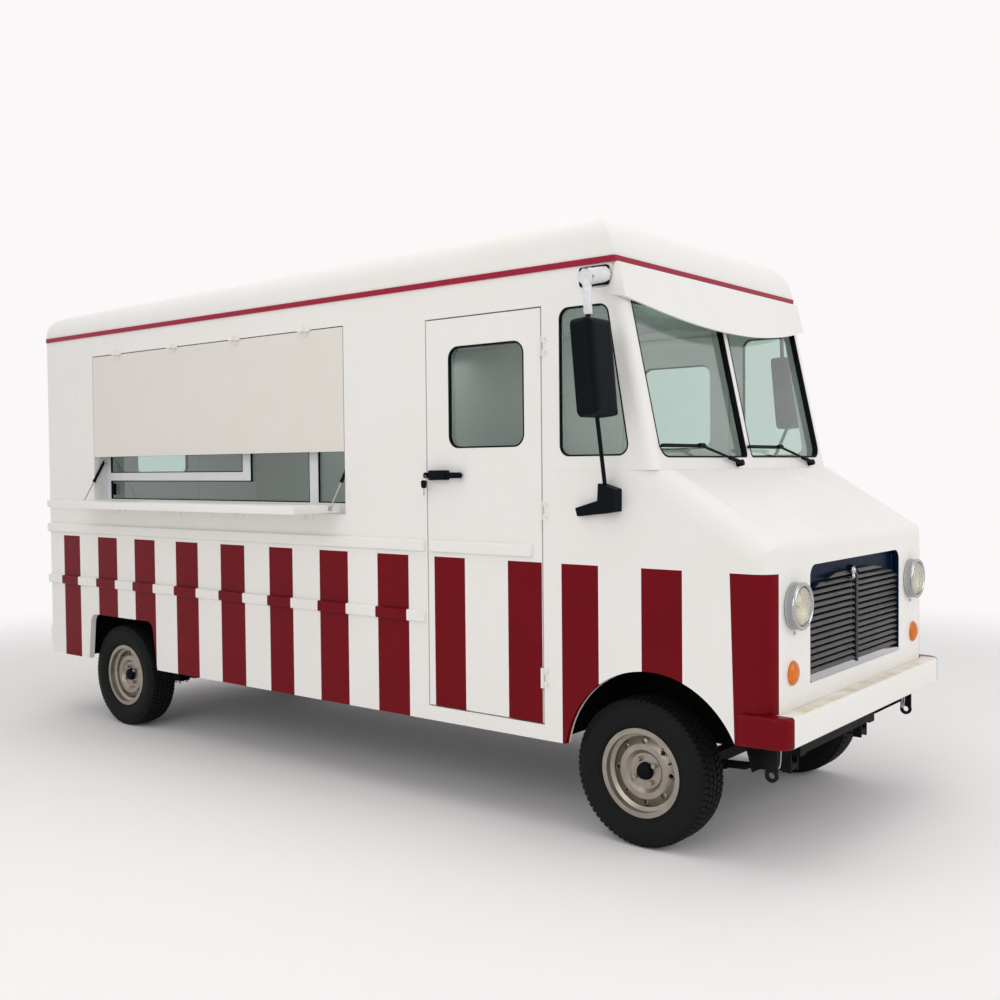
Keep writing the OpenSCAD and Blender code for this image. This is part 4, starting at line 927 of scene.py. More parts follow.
@dataclass
class Stage:
    """Floor, light and camera."""

    eye: Point3 = (4.6024, -4.9707, 1.6612)
    yaw: float = 38.90
    pitch: float = -1.71
    roll: float = -0.56
    lens_mm: float = 40.49
    backdrop: str = "#FCF8F9"
    sky: float = 0.62
    fade: Point2 = (4.6, 8.5)
    floor: float = 40.0
    softbox_from: float = 2.0
    sensor_mm: float = 36.0
    reach: float = 200.0
    lamps: tuple[tuple[str, Point3, Point3, float, float], ...] = (
        ("ceiling_softbox", (0.5, -1.0, 7.5), (0.0, 0.0, 1.0), 7.0, 150.0),
        ("near_softbox", (3.0, -8.5, 4.5), (0.0, 0.0, 1.2), 5.0, 138.0),
        ("front_softbox", (9.0, 1.5, 3.8), (2.0, 0.0, 1.2), 4.0, 128.0),
        ("cab_lamp", (0.80, 0.0, 1.50), (1.15, 0.0, 2.45), 0.8, 6.0),
        ("kitchen_lamp", (-1.00, 0.15, 2.40), (-1.00, 0.15, 0.5), 1.3, 5.0),
    )

    def build(self) -> None:
        """Make the floor, the lamps, the sky and the camera."""
        self._floor()
        self._sky()
        for name, place, aim, size, power in self.lamps:
            lamp = started(bpy.ops.object.light_add, type="AREA", location=place)
            lamp.name = name
            lamp.data.energy, lamp.data.size = power, size
            lamp.visible_camera = lamp.visible_transmission = False
            lamp.visible_glossy = size > self.softbox_from
            lamp.rotation_euler = (Vector(aim) - Vector(place)).to_track_quat("-Z", "Y").to_euler()
        self._camera()

    def _floor(self) -> None:
        """Make the pale floor, which keeps the truck's shadow and fades into the backdrop away from it."""
        floor = started(bpy.ops.mesh.primitive_plane_add, size=self.floor)
        floor.name = "studio_floor"
        pale = Finish("pale_studio_floor", "#FAF7F7", "#F8F5F5", 0.9, grain_mm=60, grain_depth_mm=0.1).material()
        tree = pale.node_tree
        place = add_node(tree, "ShaderNodeTexCoord", {}, {}).outputs["Object"]
        away = add_node(tree, "ShaderNodeVectorMath", {"operation": "LENGTH"}, {0: place}).outputs["Value"]
        near, far = self.fade
        span = {"Value": away, "From Min": near, "From Max": far}
        share = add_node(tree, "ShaderNodeMapRange", {"interpolation_type": "SMOOTHSTEP"}, span).outputs["Result"]
        clear = add_node(tree, "ShaderNodeBsdfTransparent", {}, {})
        shader = next(n for n in tree.nodes if n.type == "BSDF_PRINCIPLED")
        output = next(n for n in tree.nodes if n.type == "OUTPUT_MATERIAL")
        parts = {0: share, 1: shader.outputs["BSDF"], 2: clear.outputs["BSDF"]}
        mix = add_node(tree, "ShaderNodeMixShader", {}, parts)
        tree.links.new(mix.outputs["Shader"], output.inputs["Surface"])
        floor.data.materials.append(pale)

    def _sky(self) -> None:
        """Light the scene evenly, with the backdrop's colour where it is seen."""
        world = bpy.data.worlds.new("studio")
        bpy.context.scene.world = world
        world.use_nodes = True
        tree = world.node_tree
        tree.nodes.clear()
        path = add_node(tree, "ShaderNodeLightPath", {}, {}).outputs
        seen = path["Is Camera Ray"]
        for ray in ("Is Glossy Ray", "Is Transmission Ray"):
            either = {0: seen, 1: path[ray]}
            seen = add_node(tree, "ShaderNodeMath", {"operation": "MAXIMUM"}, either).outputs[0]
        light = add_node(tree, "ShaderNodeBackground", {}, {"Color": (1, 1, 1, 1), "Strength": self.sky})
        shown = add_node(tree, "ShaderNodeBackground", {}, {"Color": linear(self.backdrop), "Strength": 1.0})
        parts = {0: seen, 1: light.outputs["Background"], 2: shown.outputs["Background"]}
        mix = add_node(tree, "ShaderNodeMixShader", {}, parts)
        add_node(tree, "ShaderNodeOutputWorld", {}, {"Surface": mix.outputs["Shader"]})

    def _camera(self) -> None:
        """Put the camera where the photograph was taken from."""
        yaw, pitch, roll = (math.radians(a) for a in (self.yaw, self.pitch, self.roll))
        ahead = Vector((-math.sin(yaw) * math.cos(pitch), math.cos(yaw) * math.cos(pitch), math.sin(pitch)))
        right = Vector((math.cos(yaw), math.sin(yaw), 0))
        up = right.cross(ahead)
        right, up = math.cos(roll) * right + math.sin(roll) * up, -math.sin(roll) * right + math.cos(roll) * up
        camera = started(bpy.ops.object.camera_add)
        camera.data.lens, camera.data.sensor_width = self.lens_mm, self.sensor_mm
        camera.data.clip_end = self.reach
        camera.matrix_world = Matrix.Translation(self.eye) @ Matrix((right, up, -ahead)).transposed().to_4x4()
        bpy.context.scene.camera = camera


@dataclass
class Shell:
    """Painted body: finishes of the solids, and soft-edged copies of those whose edges are rounded."""

    finishes: tuple[tuple[Finish, tuple[str, ...]], ...] = NODE_FINISHES
    soft: tuple[tuple[str, Finish, str, str, float, int, float], ...] = (
        ("front_bumper", BUMPER, "body", "body_white", 0.016, 4, 50),
        ("rear_bumper", WHITE, "body", "body_white", 0.008, 3, 50),
        ("handle_right", PLASTIC, "door_right", "black_plastic", 0.003, 2, 50),
        ("handle_left", PLASTIC, "door_left", "black_plastic", 0.003, 2, 50),
        ("handle_rear", PLASTIC, "door_rear", "black_plastic", 0.004, 2, 50),
    )

    def dress(self) -> None:
        """Give every solid its finish."""
        for finish, names in self.finishes:
            for name in names:
                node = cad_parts[name]
                node.data.materials.clear()
                node.data.materials.append(finish.material())
                LOG.info("%s: %s", name, finish.name)

    def build(self) -> None:
        """Model the soft-edged copies."""
        for node, finish, body, slot, width, segments, angle in self.soft:
            piece = finish_piece(softened(node, width, segments, angle), f"soft_{node}", finish, body)
            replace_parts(piece, node)


@dataclass
class WindowSeals:
    """Rubber that lines the window openings from the skin down to the glass."""

    wall: float = 0.008
    proud: float = 0.0015
    deep: float = 0.018
    screen_deep: float = 0.028
    post_half: float = 0.019
    pane: float = 0.808
    rake: float = math.radians(12.3)
    screen_foot: Point2 = (2.139, 1.692)
    screen_top: float = 2.380
    screen_radii: tuple[float, ...] = (0.020, 0.065, 0.020, 0.020)
    quarter: tuple[Point2, ...] = ((1.708, 1.752), (1.969, 1.752), (1.875, 2.312), (1.708, 2.312))
    quarter_radius: float = 0.05
    door_radius: float = 0.06
    gap: float = 0.0004
    soft: float = 0.002

    def build(self) -> None:
        """Model the seals of the windscreen, the quarter windows and the doors."""
        self._windscreen()
        for side in Side:
            self._flank(side, self.quarter, self.quarter_radius, f"quarter_seal_{side.word}", "body")
            low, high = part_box(f"door_glass_{side.word}")
            corners = corner_centres((low.x, low.z), (high.x, high.z), self.door_radius)
            self._flank(side, corners, self.door_radius, f"door_seal_{side.word}", f"door_{side.word}")
        self._rear()

    def _windscreen(self) -> None:
        """Model the two seals of the windscreen, on its slope."""
        rise = (self.screen_top - self.screen_foot[1]) / math.cos(self.rake)
        low, high = (self.post_half, 0.0), (self.post_half + self.pane, rise)
        foot = Matrix.Translation((self.screen_foot[0], 0, self.screen_foot[1]))
        slope = foot @ Matrix.Rotation(-self.rake, 4, "Y")
        outline = box_outline(low, high, self.screen_radii, self.gap)
        for side in Side:
            seal = ring(outline, self._drawn_in(outline, low, high), self.screen_deep + self.proud, self.soft)
            mirrored = Matrix.Scale(side.value, 4, (0, 1, 0))
            place = mirrored @ slope @ Facing.FRONT.at(-self.screen_deep, 0, 0)
            finish_piece(seal, f"windscreen_seal_{side.word}", RUBBER, "body", place)

    def _drawn_in(self, outline: Sequence[Point2], low: Point2, high: Point2) -> list[Point2]:
        """Scale an outline about its middle so that its straight edges come in by the seal's wall."""
        mid = ((low[0] + high[0]) / 2, (low[1] + high[1]) / 2)
        share = [1 - 2 * self.wall / (high[i] - low[i]) for i in range(2)]
        return [(mid[0] + (u - mid[0]) * share[0], mid[1] + (v - mid[1]) * share[1]) for u, v in outline]

    def _lining(self, corners: Sequence[Point2], radius: float) -> Piece:
        """Model one seal flat, from the glass out to the skin."""
        outlines = [soft_outline(corners, radius - inset) for inset in (self.gap, self.wall)]
        return ring(*outlines, self.deep + self.proud, self.soft)

    def _flank(self, side: Side, corners: Sequence[Point2], radius: float, name: str, body: str) -> None:
        """Model a seal on one flank, from corner centres in X and Z.

        Args:
            side: The flank.
            corners: Corner centres, anticlockwise seen from the right.
            radius: Corner radius.
            name: Name of the piece.
            body: Body that it moves with.
        """
        place = flank(side).at(0, side.value * (HALF_WIDTH - self.deep), 0)
        finish_piece(self._lining(corners, radius), name, RUBBER, body, place)

    def _rear(self) -> None:
        """Model the seal of the rear door's window."""
        low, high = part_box("door_glass_rear")
        corners = corner_centres((low.y, low.z), (high.y, high.z), self.door_radius)
        place = Facing.BACK.at(X_BACK + self.deep, 0, 0)
        seal = self._lining(corners, self.door_radius)
        finish_piece(seal, "door_seal_rear", RUBBER, "door_rear", place)


@dataclass
class Wheels:
    """Block-tread tyres, with the caps, vent lips and valves of the steel wheels."""

    radius: float = 0.325
    width: float = 0.188
    rim: float = 0.195
    groove: float = 0.009
    blocks: int = 72
    root: float = 0.006
    shoulder: float = 0.05
    shoulder_drop: float = 0.0048
    slant: float = 0.22
    vents: int = 8
    vent_at: float = 0.133
    valve_at: tuple[float, float] = (0.158, 0.036)
    valve_lean: float = math.radians(-14)
    corners: tuple[tuple[str, Side], ...] = (
        ("front", Side.RIGHT),
        ("front", Side.LEFT),
        ("rear", Side.RIGHT),
        ("rear", Side.LEFT),
    )
    rows: tuple[tuple[float, float, float, float], ...] = (
        (-0.066, 0.030, 0.74, 0.0),
        (-0.033, 0.026, 0.80, 0.5),
        (0.0, 0.024, 0.90, 0.0),
        (0.033, 0.026, 0.80, 0.5),
        (0.066, 0.030, 0.74, 0.0),
    )

    def build(self) -> None:
        """Model one tyre and one set of wheel trim, and copy them to the four wheels."""
        tyre = self._tyre()
        trim = (
            ("hub_cap", self._cap(), PLASTIC, "black_plastic"),
            ("vent_lips", self._lips(), WHEEL, "wheel_silver"),
            ("valve", self._valve(), RUBBER, "black_plastic"),
        )
        for end, side in self.corners:
            where = f"{end}_{side.word}"
            low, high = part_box(f"tyre_{where}")
            stand = Matrix.Translation((low + high) / 2) @ Matrix.Rotation(math.radians(-90 * side.value), 4, "X")
            body = f"wheel_{where}"
            rubber = finish_piece(copy_piece(tyre), f"tread_{where}", TYRE, body, stand)
            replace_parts(rubber, f"tyre_{where}")
            for name, model, finish, slot in trim:
                finish_piece(copy_piece(model), f"{name}_{where}", finish, body, stand)
        for model in (tyre, *(entry[1] for entry in trim)):
            bpy.data.objects.remove(model)

    def _tyre(self) -> Piece:
        """Model a tyre about Z: a spun carcass with rows of tread blocks."""
        half, base, seat = self.width / 2, self.radius - self.groove, self.rim - 0.0165
        outer = [
            (seat, 0.052),
            (self.rim - 0.012, 0.066),
            (self.rim + 0.004, 0.074),
            (self.rim + 0.010, 0.084),
            (self.rim + 0.014, 0.0865),
            (self.rim + 0.018, 0.0845),
            (self.rim + 0.045, half - 0.001),
            (self.rim + 0.066, half),
            (self.rim + 0.090, half - 0.002),
            (self.rim + 0.096, half - 0.0035),
            (self.rim + 0.098, half - 0.0055),
            (base - 0.010, half - 0.008),
            (base - 0.002, half - 0.016),
            (base, 0.070),
            (base, 0.035),
        ]
        inner = [(r, -h) for r, h in reversed(outer)]
        carcass = lathe([(seat, 0.0), *outer, (base, 0.0), *inner, (seat, 0.0)], 96)
        return join([carcass, *(self._row(*row) for row in self.rows)])

    def _row(self, at: float, across: float, fill: float, phase: float) -> Piece:
        """Model a row of tread blocks round the tyre.

        Args:
            at: Place across the tread.
            across: Width of a block.
            fill: Share of the pitch that a block takes.
            phase: Turn of the row, in pitches.

        Returns:
            The row.
        """
        pitch = math.tau / self.blocks
        wide = self.radius * pitch * fill
        outermost = abs(at) > self.shoulder
        high = self.groove + self.root
        block = started(bpy.ops.mesh.primitive_cube_add, size=1.0)
        block.scale = (high, wide, across)
        bpy.ops.object.transform_apply(location=True, rotation=True, scale=True)
        pick(block, Part.VERT, lambda v: outermost and v.co.x > 0 and v.co.z * at > 0)
        bpy.ops.transform.translate(value=(-self.shoulder_drop, 0, 0))
        pick(block, Part.VERT, lambda v: v.co.z > 0)
        bpy.ops.transform.translate(value=(0, wide * self.slant * (1 if at >= 0 else -1), 0))
        rest()
        bevel_edges(block, 0.0012, 1)
        middle = self.radius - high / 2 - 0.0004
        block.data.transform(Matrix.Rotation(phase * pitch, 4, "Z") @ Matrix.Translation((middle, 0, at)))
        pick(block, Part.FACE, everything)
        turn = pitch * (self.blocks - 1)
        bpy.ops.mesh.spin(steps=self.blocks - 1, dupli=True, angle=turn, center=(0, 0, 0), axis=(0, 0, 1))
        rest()
        return block

    def _cap(self) -> Piece:
        """Model the black cap over the hub nut."""
        profile = [(0.0, 0.0585), (0.012, 0.058), (0.0205, 0.0565), (0.0225, 0.0545), (0.033, 0.0515)]
        return lathe([*profile, (0.0385, 0.0355), (0.0395, 0.0285)], 40)

    def _lips(self) -> Piece:
        """Model the raised lips round the vents of a wheel disc."""
        profile = [(0.0112, 0.024), (0.0112, 0.0375), (0.0125, 0.0392), (0.0142, 0.0385), (0.0185, 0.0335)]
        lip = lathe([*profile, (0.0205, 0.0255)], 20)
        lip.data.transform(Matrix.Translation((self.vent_at, 0, 0)))
        pick(lip, Part.FACE, everything)
        more = self.vents - 1
        turn = math.tau * more / self.vents
        bpy.ops.mesh.spin(steps=more, dupli=True, angle=turn, center=(0, 0, 0), axis=(0, 0, 1))
        rest()
        return lip

    def _valve(self) -> Piece:
        """Model the tyre valve, which leans out of the rim."""
        cap = [(0, 0.034), (0.0032, 0.0335), (0.0038, 0.024), (0.0034, 0.022)]
        valve = lathe([*cap, (0.0034, 0.012), (0.006, 0.0), (0, 0)], 12)
        out, up = self.valve_at
        between = Matrix.Rotation(math.pi / self.vents, 4, "Z")
        lean = Matrix.Rotation(self.valve_lean, 4, "Y")
        valve.data.transform(between @ Matrix.Translation((out, 0, up)) @ lean)
        return valve


@dataclass
class Lamps:
    """Headlamps with bowl, bulb and fluted glass; seats of the indicators; frames and lenses of the tail lamps."""

    lamp: Point2 = (0.682, 1.084)
    bezel: float = 0.098
    glass: float = 0.0788
    clip_drop: float = 0.112
    indicator: Point2 = (0.708, 0.814)
    indicator_r: float = 0.050
    tail_low: Point2 = (0.705, 0.760)
    tail_high: Point2 = (0.825, 1.080)
    tail_frame: float = 0.0066
    tail_grown: float = 0.007
    tail_skin: float = 0.0295
    tail_inset: float = 0.006
    lip: float = 0.009
    lip_z: float = 0.036
    dome_z: float = 0.039
    dome_rise: float = 0.022
    glass_wall: float = 0.003

    def build(self) -> None:
        """Model the lamps of both sides."""
        for side in Side:
            y = side.value
            head = Facing.FRONT.at(X_FACE, y * self.lamp[0], self.lamp[1])
            bezel = finish_piece(self._bezel(), f"headlamp_bezel_{side.word}", CHROME, "body", head)
            lens = finish_piece(self._glass(), f"headlamp_glass_{side.word}", LENS, "body", head)
            if side is Side.RIGHT:
                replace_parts(bezel, "headlamps")
                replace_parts(lens, "lamp_lenses")
            finish_piece(self._bowl(), f"headlamp_bowl_{side.word}", SILVERED, "body", head)
            finish_piece(self._bulb(), f"headlamp_bulb_{side.word}", OPAL, "body", head)
            below = Facing.FRONT.at(X_FACE + 0.0005, y * self.lamp[0], self.lamp[1] - self.clip_drop)
            finish_piece(stamp(screw(0.008), [below]), f"headlamp_screw_{side.word}", CHROME, "body")
            seat = Facing.FRONT.at(X_FACE, y * self.indicator[0], self.indicator[1])
            finish_piece(self._gasket(), f"indicator_seat_{side.word}", WHITE, "body", seat)
            self._tail(side)

    def _bezel(self) -> Piece:
        """Model the rounded ring round a headlamp."""
        r = self.bezel
        angles = [math.pi * k / 12 for k in range(13)]
        lip = [(r + self.lip * (math.cos(a) - 1), self.lip_z + self.lip * math.sin(a)) for a in angles]
        base = [(r - 0.016, 0.0), (r, 0.0), (r, 0.006), (r - 0.0025, 0.009), (r - 0.0025, 0.027), (r, 0.031)]
        return lathe([*base, *lip, (r - 0.0185, 0.034), (r - 0.016, 0.0)], 64)

    def _bowl(self) -> Piece:
        """Model the silvered bowl behind the glass."""
        edge, floor, rise = self.glass, 0.003, 0.029
        curve = [(edge * k / 10, floor + rise * (k / 10) ** 2) for k in range(10, 1, -1)]
        return lathe([*curve, (0.013, floor), (0.0, floor)], 48)

    def _bulb(self) -> Piece:
        """Model the bulb in its holder."""
        holder = [(0.0125, 0.003), (0.0125, 0.008), (0.008, 0.010)]
        return lathe([*holder, (0.0085, 0.018), (0.006, 0.0235), (0.0, 0.025)], 20)

    def _glass(self) -> Piece:
        """Model the domed glass as a shell."""
        half, rise, wall = self.glass, self.dome_rise, self.glass_wall
        sphere = (half * half + rise * rise) / (2 * rise)
        middle = self.dome_z + rise - sphere
        reach = math.asin(half / sphere)
        steps = [reach * (1 - k / 14) for k in range(15)]
        outside, inside = (
            [(r * math.sin(a), middle + r * math.cos(a)) for a in steps] for r in (sphere, sphere - wall)
        )
        foot = self.dome_z - 0.0045
        return lathe([*outside, *reversed(inside), (half - wall, foot), (half, foot), outside[0]], 64)

    def _gasket(self) -> Piece:
        """Model the painted seat round an indicator."""
        profile = [(0.0003, 0.0), (0.0028, 0.0), (0.0028, 0.003), (0.0015, 0.0045), (0.0003, 0.0045)]
        return lathe([(self.indicator_r + r, h) for r, h in profile], 48)

    def _tail(self, side: Side) -> None:
        """Model the frame of a tail lamp and its two other lenses."""
        sign = side.value
        (y0, z0), (y1, z1) = self.tail_low, self.tail_high
        low, high = ((y0, z0), (y1, z1)) if sign > 0 else ((-y1, z0), (-y0, z1))
        more = self.tail_grown
        foot, head = (low[0] - more, low[1] - more), (high[0] + more, high[1] + more)
        rim = box_ring(foot, head, self.tail_frame, (0.025, 0.0184), 0.022, 0.003)
        place = Facing.BACK.at(X_BACK, 0, 0)
        finish_piece(rim, f"tail_lamp_frame_{side.word}", PLASTIC, "body", place)
        for name, finish, slot, bottom, top in (
            ("turn", AMBER, "amber", 0.873, 0.967),
            ("reverse", WHITE_LENS, "lamp_glass", 0.772, 0.866),
        ):
            left, right = low[0] + self.tail_inset, high[0] - self.tail_inset
            plate = prism(box_outline((left, bottom), (right, top), (0.006,) * 4), 0.004, 0.0015)
            skin = Facing.BACK.at(X_BACK - self.tail_skin, 0, 0)
            finish_piece(plate, f"tail_lamp_{name}_{side.word}", finish, "body", skin)


@dataclass
class Grille:
    """Louvres with their post set upright, bright knob and bottom trim of the grille."""

    front: float = 2.653
    half: float = 0.521
    foot: float = 0.744
    post_foot: float = 0.764
    post_top: float = 1.162
    post_half: float = 0.0165
    post_proud: float = 0.003
    post_clear: float = 0.026
    bow: float = 0.030
    bend: float = 0.026
    knob_back: float = 0.062
    knob: Point3 = (2.6725, -0.062, 1.146)
    knob_lean: float = math.radians(-4)
    opening: float = 0.525
    head: float = 1.238

    def build(self) -> None:
        """Model the louvres, the knob and the trim."""
        louvres = softened("grille", 0.0008, 1, 50)
        front, foot = self.front - self.post_proud, self.post_foot + self.post_clear
        for vert in louvres.data.vertices:
            if abs(vert.co.y) < self.post_half and vert.co.x > front and vert.co.z > foot:
                vert.co.x -= self._back(vert.co.z)
        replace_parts(finish_piece(louvres, "upright_post_grille", LOUVRE, "body"), "grille")
        stem = [(0.0, 0.0), (0.0095, 0.001), (0.010, 0.012), (0.0085, 0.017)]
        head = [(0.0125, 0.024), (0.015, 0.034), (0.0125, 0.045), (0.006, 0.051), (0.0, 0.052)]
        place = Matrix.Translation(self.knob) @ Matrix.Rotation(self.knob_lean, 4, "Y")
        finish_piece(lathe([*stem, *head], 24), "grille_knob", CHROME, "body", place)
        low, high = (-self.opening, self.foot), (self.opening, self.head)
        outlines = [box_outline(low, high, (0.006, 0.006, 0.052, 0.052), inset) for inset in (0.0003, 0.0028)]
        lining = Facing.FRONT.at(X_FACE - 0.0345, 0, 0)
        finish_piece(ring(*outlines, 0.0337, 0.0006), "grille_lining", NAVY, "body", lining)
        section = [(0.004, 0.0015), (0.0212, 0.0015), (0.0212, 0.0085), (0.0052, 0.0318), (0.002, 0.0318)]
        trim = prism([(self.front + u, self.foot + v) for u, v in section], 2 * self.half, 0.0008)
        trim_place = Matrix.Translation((0, self.half, 0)) @ Matrix.Rotation(math.radians(90), 4, "X")
        finish_piece(trim, "grille_trim", CHROME, "body", trim_place)

    def _back(self, z: float) -> float:
        """How far back the post goes at a height."""
        if z < self.post_top:
            return self.bow * (z - self.post_foot) / (self.post_top - self.post_foot)
        return min(self.bow + (z - self.post_top) / self.bend * (self.knob_back - self.bow), self.knob_back)


@dataclass
class Mirrors:
    """Rims and plate screws of the mirrors, and the white wrapping of the right one's upper arm."""

    middle: Point3 = (2.000, 1.1025, 2.065)
    half: Point2 = (0.0975, 0.2025)
    rim_wall: float = 0.0125
    rim_radii: Point2 = (0.03, 0.022)
    rim_deep: float = 0.0075
    face_back: float = 0.0435
    lean: float = math.radians(-5)
    plate: tuple[float, float, float, float] = (1.798, 1.912, 2.455, 2.506)
    left_back: float = 0.165

    def build(self) -> None:
        """Model the pieces of both mirrors."""
        (x, y, z), (w, h) = self.middle, self.half
        x0, x1, z0, z1 = self.plate
        for side in Side:
            back = self.left_back if side is Side.LEFT else 0.0
            rim = box_ring((-w, -h), (w, h), self.rim_wall, self.rim_radii, self.rim_deep, 0.002)
            middle = Matrix.Translation((x - back, side.value * y, z)) @ Matrix.Rotation(self.lean, 4, "Y")
            place = middle @ Facing.BACK.at(-self.face_back, 0, 0)
            finish_piece(rim, f"mirror_rim_{side.word}", PLASTIC, "body", place)
            spots = [(u - back, v) for u in (x0, x1) for v in (z0, z1)]
            heads = stamp(screw(0.007), [flank(side).at(u, side.value * (HALF_WIDTH + 0.014), v) for u, v in spots])
            finish_piece(heads, f"mirror_screws_{side.word}", ZINC, "body")
        self._sleeve("arm", [(1.9585, -1.1025, 2.285), (1.954, -1.1025, 2.405), (1.9525, -1.1025, 2.440)], 0.0185)
        self._sleeve("elbow", [(1.956, -1.116, 2.440), (1.944, -1.062, 2.4525), (1.9105, -0.9115, 2.4785)], 0.034)

    def _sleeve(self, name: str, points: Sequence[Point3], radius: float) -> None:
        """Model crumpled wrapping round a part of the right mirror's upper arm.

        Args:
            name: Which part.
            points: Line of the wrapping.
            radius: Its mean radius.
        """
        line = arc(points[0], points[1], points[2], 24)
        wrap = tube(line, radius)
        for vert in wrap.data.vertices:
            x, y, z = vert.co
            crease = math.sin(210 * z + 95 * y + 4 * math.sin(170 * x)) + 0.7 * math.sin(330 * x - 120 * z + 60 * y)
            vert.co += vert.normal * radius * 0.07 * crease
        finish_piece(wrap, f"mirror_sleeve_{name}", SLEEVE, "body", smooth=60)


@dataclass
class Doors:
    """Inner cards, pulls and levers of the cab doors, locks and key, door stops and screws of the hinge leaves."""

    card_low: Point2 = (0.915, 0.560)
    card_high: Point2 = (1.500, 1.690)
    inner: float = 0.859
    handle_z: float = 1.622
    handle_out: float = 0.931
    boss: Point2 = (0.902, 1.006)
    lock_x: float = 0.8805
    key: Point2 = (0.8738, 1.579)
    hinge_x: float = 1.5585
    hinge_z: tuple[float, ...] = (0.700, 1.4605, 2.200)
    stop: tuple[Point3, Point3] = ((0.834, 0.526, 0.8503), (1.582, 2.398, 0.8585))
    stop_wall: float = 0.042
    rear_stop: tuple[Point2, Point2] = ((-0.345, 0.675), (0.345, 2.385))
    rear_stop_in: float = 0.0365

    def build(self) -> None:
        """Model the fittings of both cab doors and the stop of the rear door."""
        for side in Side:
            self._inside(side)
            self._outside(side)
            self._stop(side)
        rear = box_ring(*self.rear_stop, self.stop_wall, (0.01, 0.01), 0.008, 0.002, steps=3)
        place = Facing.FRONT.at(X_BACK + self.rear_stop_in, 0, 0)
        finish_piece(rear, "door_stop_rear", WHITE, "body", place)
        self._key()

    def _inside(self, side: Side) -> None:
        """Model the card, the pull and the lever inside a cab door."""
        inward = flank(Side.LEFT if side is Side.RIGHT else Side.RIGHT)
        y, body = side.value, f"door_{side.word}"
        card = prism(box_outline(self.card_low, self.card_high, (0.04,) * 4), 0.009, 0.003)
        finish_piece(card, f"door_card_{side.word}", DASH, body, inward.at(0, y * self.inner, 0))
        depth, wall, bend = (y * (self.inner - d) for d in (0.045, 0.006, 0.028))
        ends = [(1.02, wall, 1.16), (1.02, depth, 1.17), (1.30, depth, 1.19), (1.30, wall, 1.20)]
        pull = [ends[0], *arc((1.02, bend, 1.165), ends[1], (1.05, depth, 1.172))]
        pull += [*arc((1.27, depth, 1.188), ends[2], (1.30, bend, 1.195)), ends[3]]
        finish_piece(tube(pull, 0.011), f"door_pull_{side.word}", PLASTIC, body)
        outline = soft_outline([(0.985, 1.44), (1.075, 1.45), (1.075, 1.456), (0.985, 1.456)], 0.009, 4)
        place = inward.at(0, y * (self.inner - 0.008), 0)
        finish_piece(prism(outline, 0.016, 0.003), f"door_lever_{side.word}", CHROME, body, place)

    def _outside(self, side: Side) -> None:
        """Model the boss and the lock of a cab door's handle, and the screws of its hinges."""
        y, body = side.value, f"door_{side.word}"
        low, high = (self.boss[0], self.handle_z - 0.0235), (self.boss[1], self.handle_z + 0.0235)
        boss = prism(box_outline(low, high, (0.013, 0.008, 0.008, 0.013)), 0.0425, 0.006)
        seat = flank(side).at(0, y * (HALF_WIDTH + 0.0003), 0)
        finish_piece(boss, f"handle_boss_{side.word}", PLASTIC, body, seat)
        keyway = [(0, 0.004), (0.0085, 0.004), (0.0095, 0.0065)]
        barrel = lathe([*keyway, (0.0125, 0.006), (0.014, 0.003), (0.014, -0.001)], 24)
        lock = flank(side).at(self.lock_x, y * self.handle_out, self.handle_z)
        finish_piece(barrel, f"door_lock_{side.word}", PLASTIC, body, lock)
        spots = [(self.hinge_x + 0.024, z + dz) for z in self.hinge_z for dz in (-0.034, -0.026, 0.026, 0.034)]
        heads = stamp(screw(0.003), [flank(side).at(u, y * (HALF_WIDTH + 0.004), v) for u, v in spots])
        finish_piece(heads, f"hinge_screws_{side.word}", ZINC, "body")

    def _stop(self, side: Side) -> None:
        """Model the painted stop that closes the gaps of a cab door from inside."""
        (x0, z0, y0), (x1, z1, y1) = self.stop
        broad = self.stop_wall
        spans = ((x0, z0, x0 + broad, z1), (x1 - broad, z0, x1, z1), (x0 + broad, z1 - broad, x1 - broad, z1))
        bars = [soft_box((a, y0, b), (c, y1, d), 0.002) for a, b, c, d in spans]
        place = Matrix.Scale(side.value, 4, (0, 1, 0))
        finish_piece(join(bars), f"door_stop_{side.word}", WHITE, "body", place)

    def _key(self) -> None:
        """Model the key that hangs from the right-hand lock."""
        x, z = self.key
        y = -self.handle_out - 0.0085
        centres = [(-0.006, -0.010), (0.006, -0.010), (0.008, 0.008), (-0.008, 0.008)]
        bow = prism(soft_outline(centres, 0.0105, 6), 0.006, 0.002)
        finish_piece(bow, "key_bow", PLASTIC, "door_right", Facing.RIGHT.at(x, y + 0.003, z))
        blade = soft_box((x - 0.0035, y - 0.001, z - 0.056), (x + 0.0035, y + 0.001, z - 0.019), 0.0006)
        finish_piece(blade, "key_blade", CHROME, "door_right")
        turns = [math.tau * k / 20 for k in range(20)]
        loop = [(x + 0.0035 + 0.013 * math.cos(a), y, z + 0.027 + 0.014 * math.sin(a)) for a in turns]
        finish_piece(tube(loop, 0.0011, closed=True), "key_ring", CHROME, "door_right")


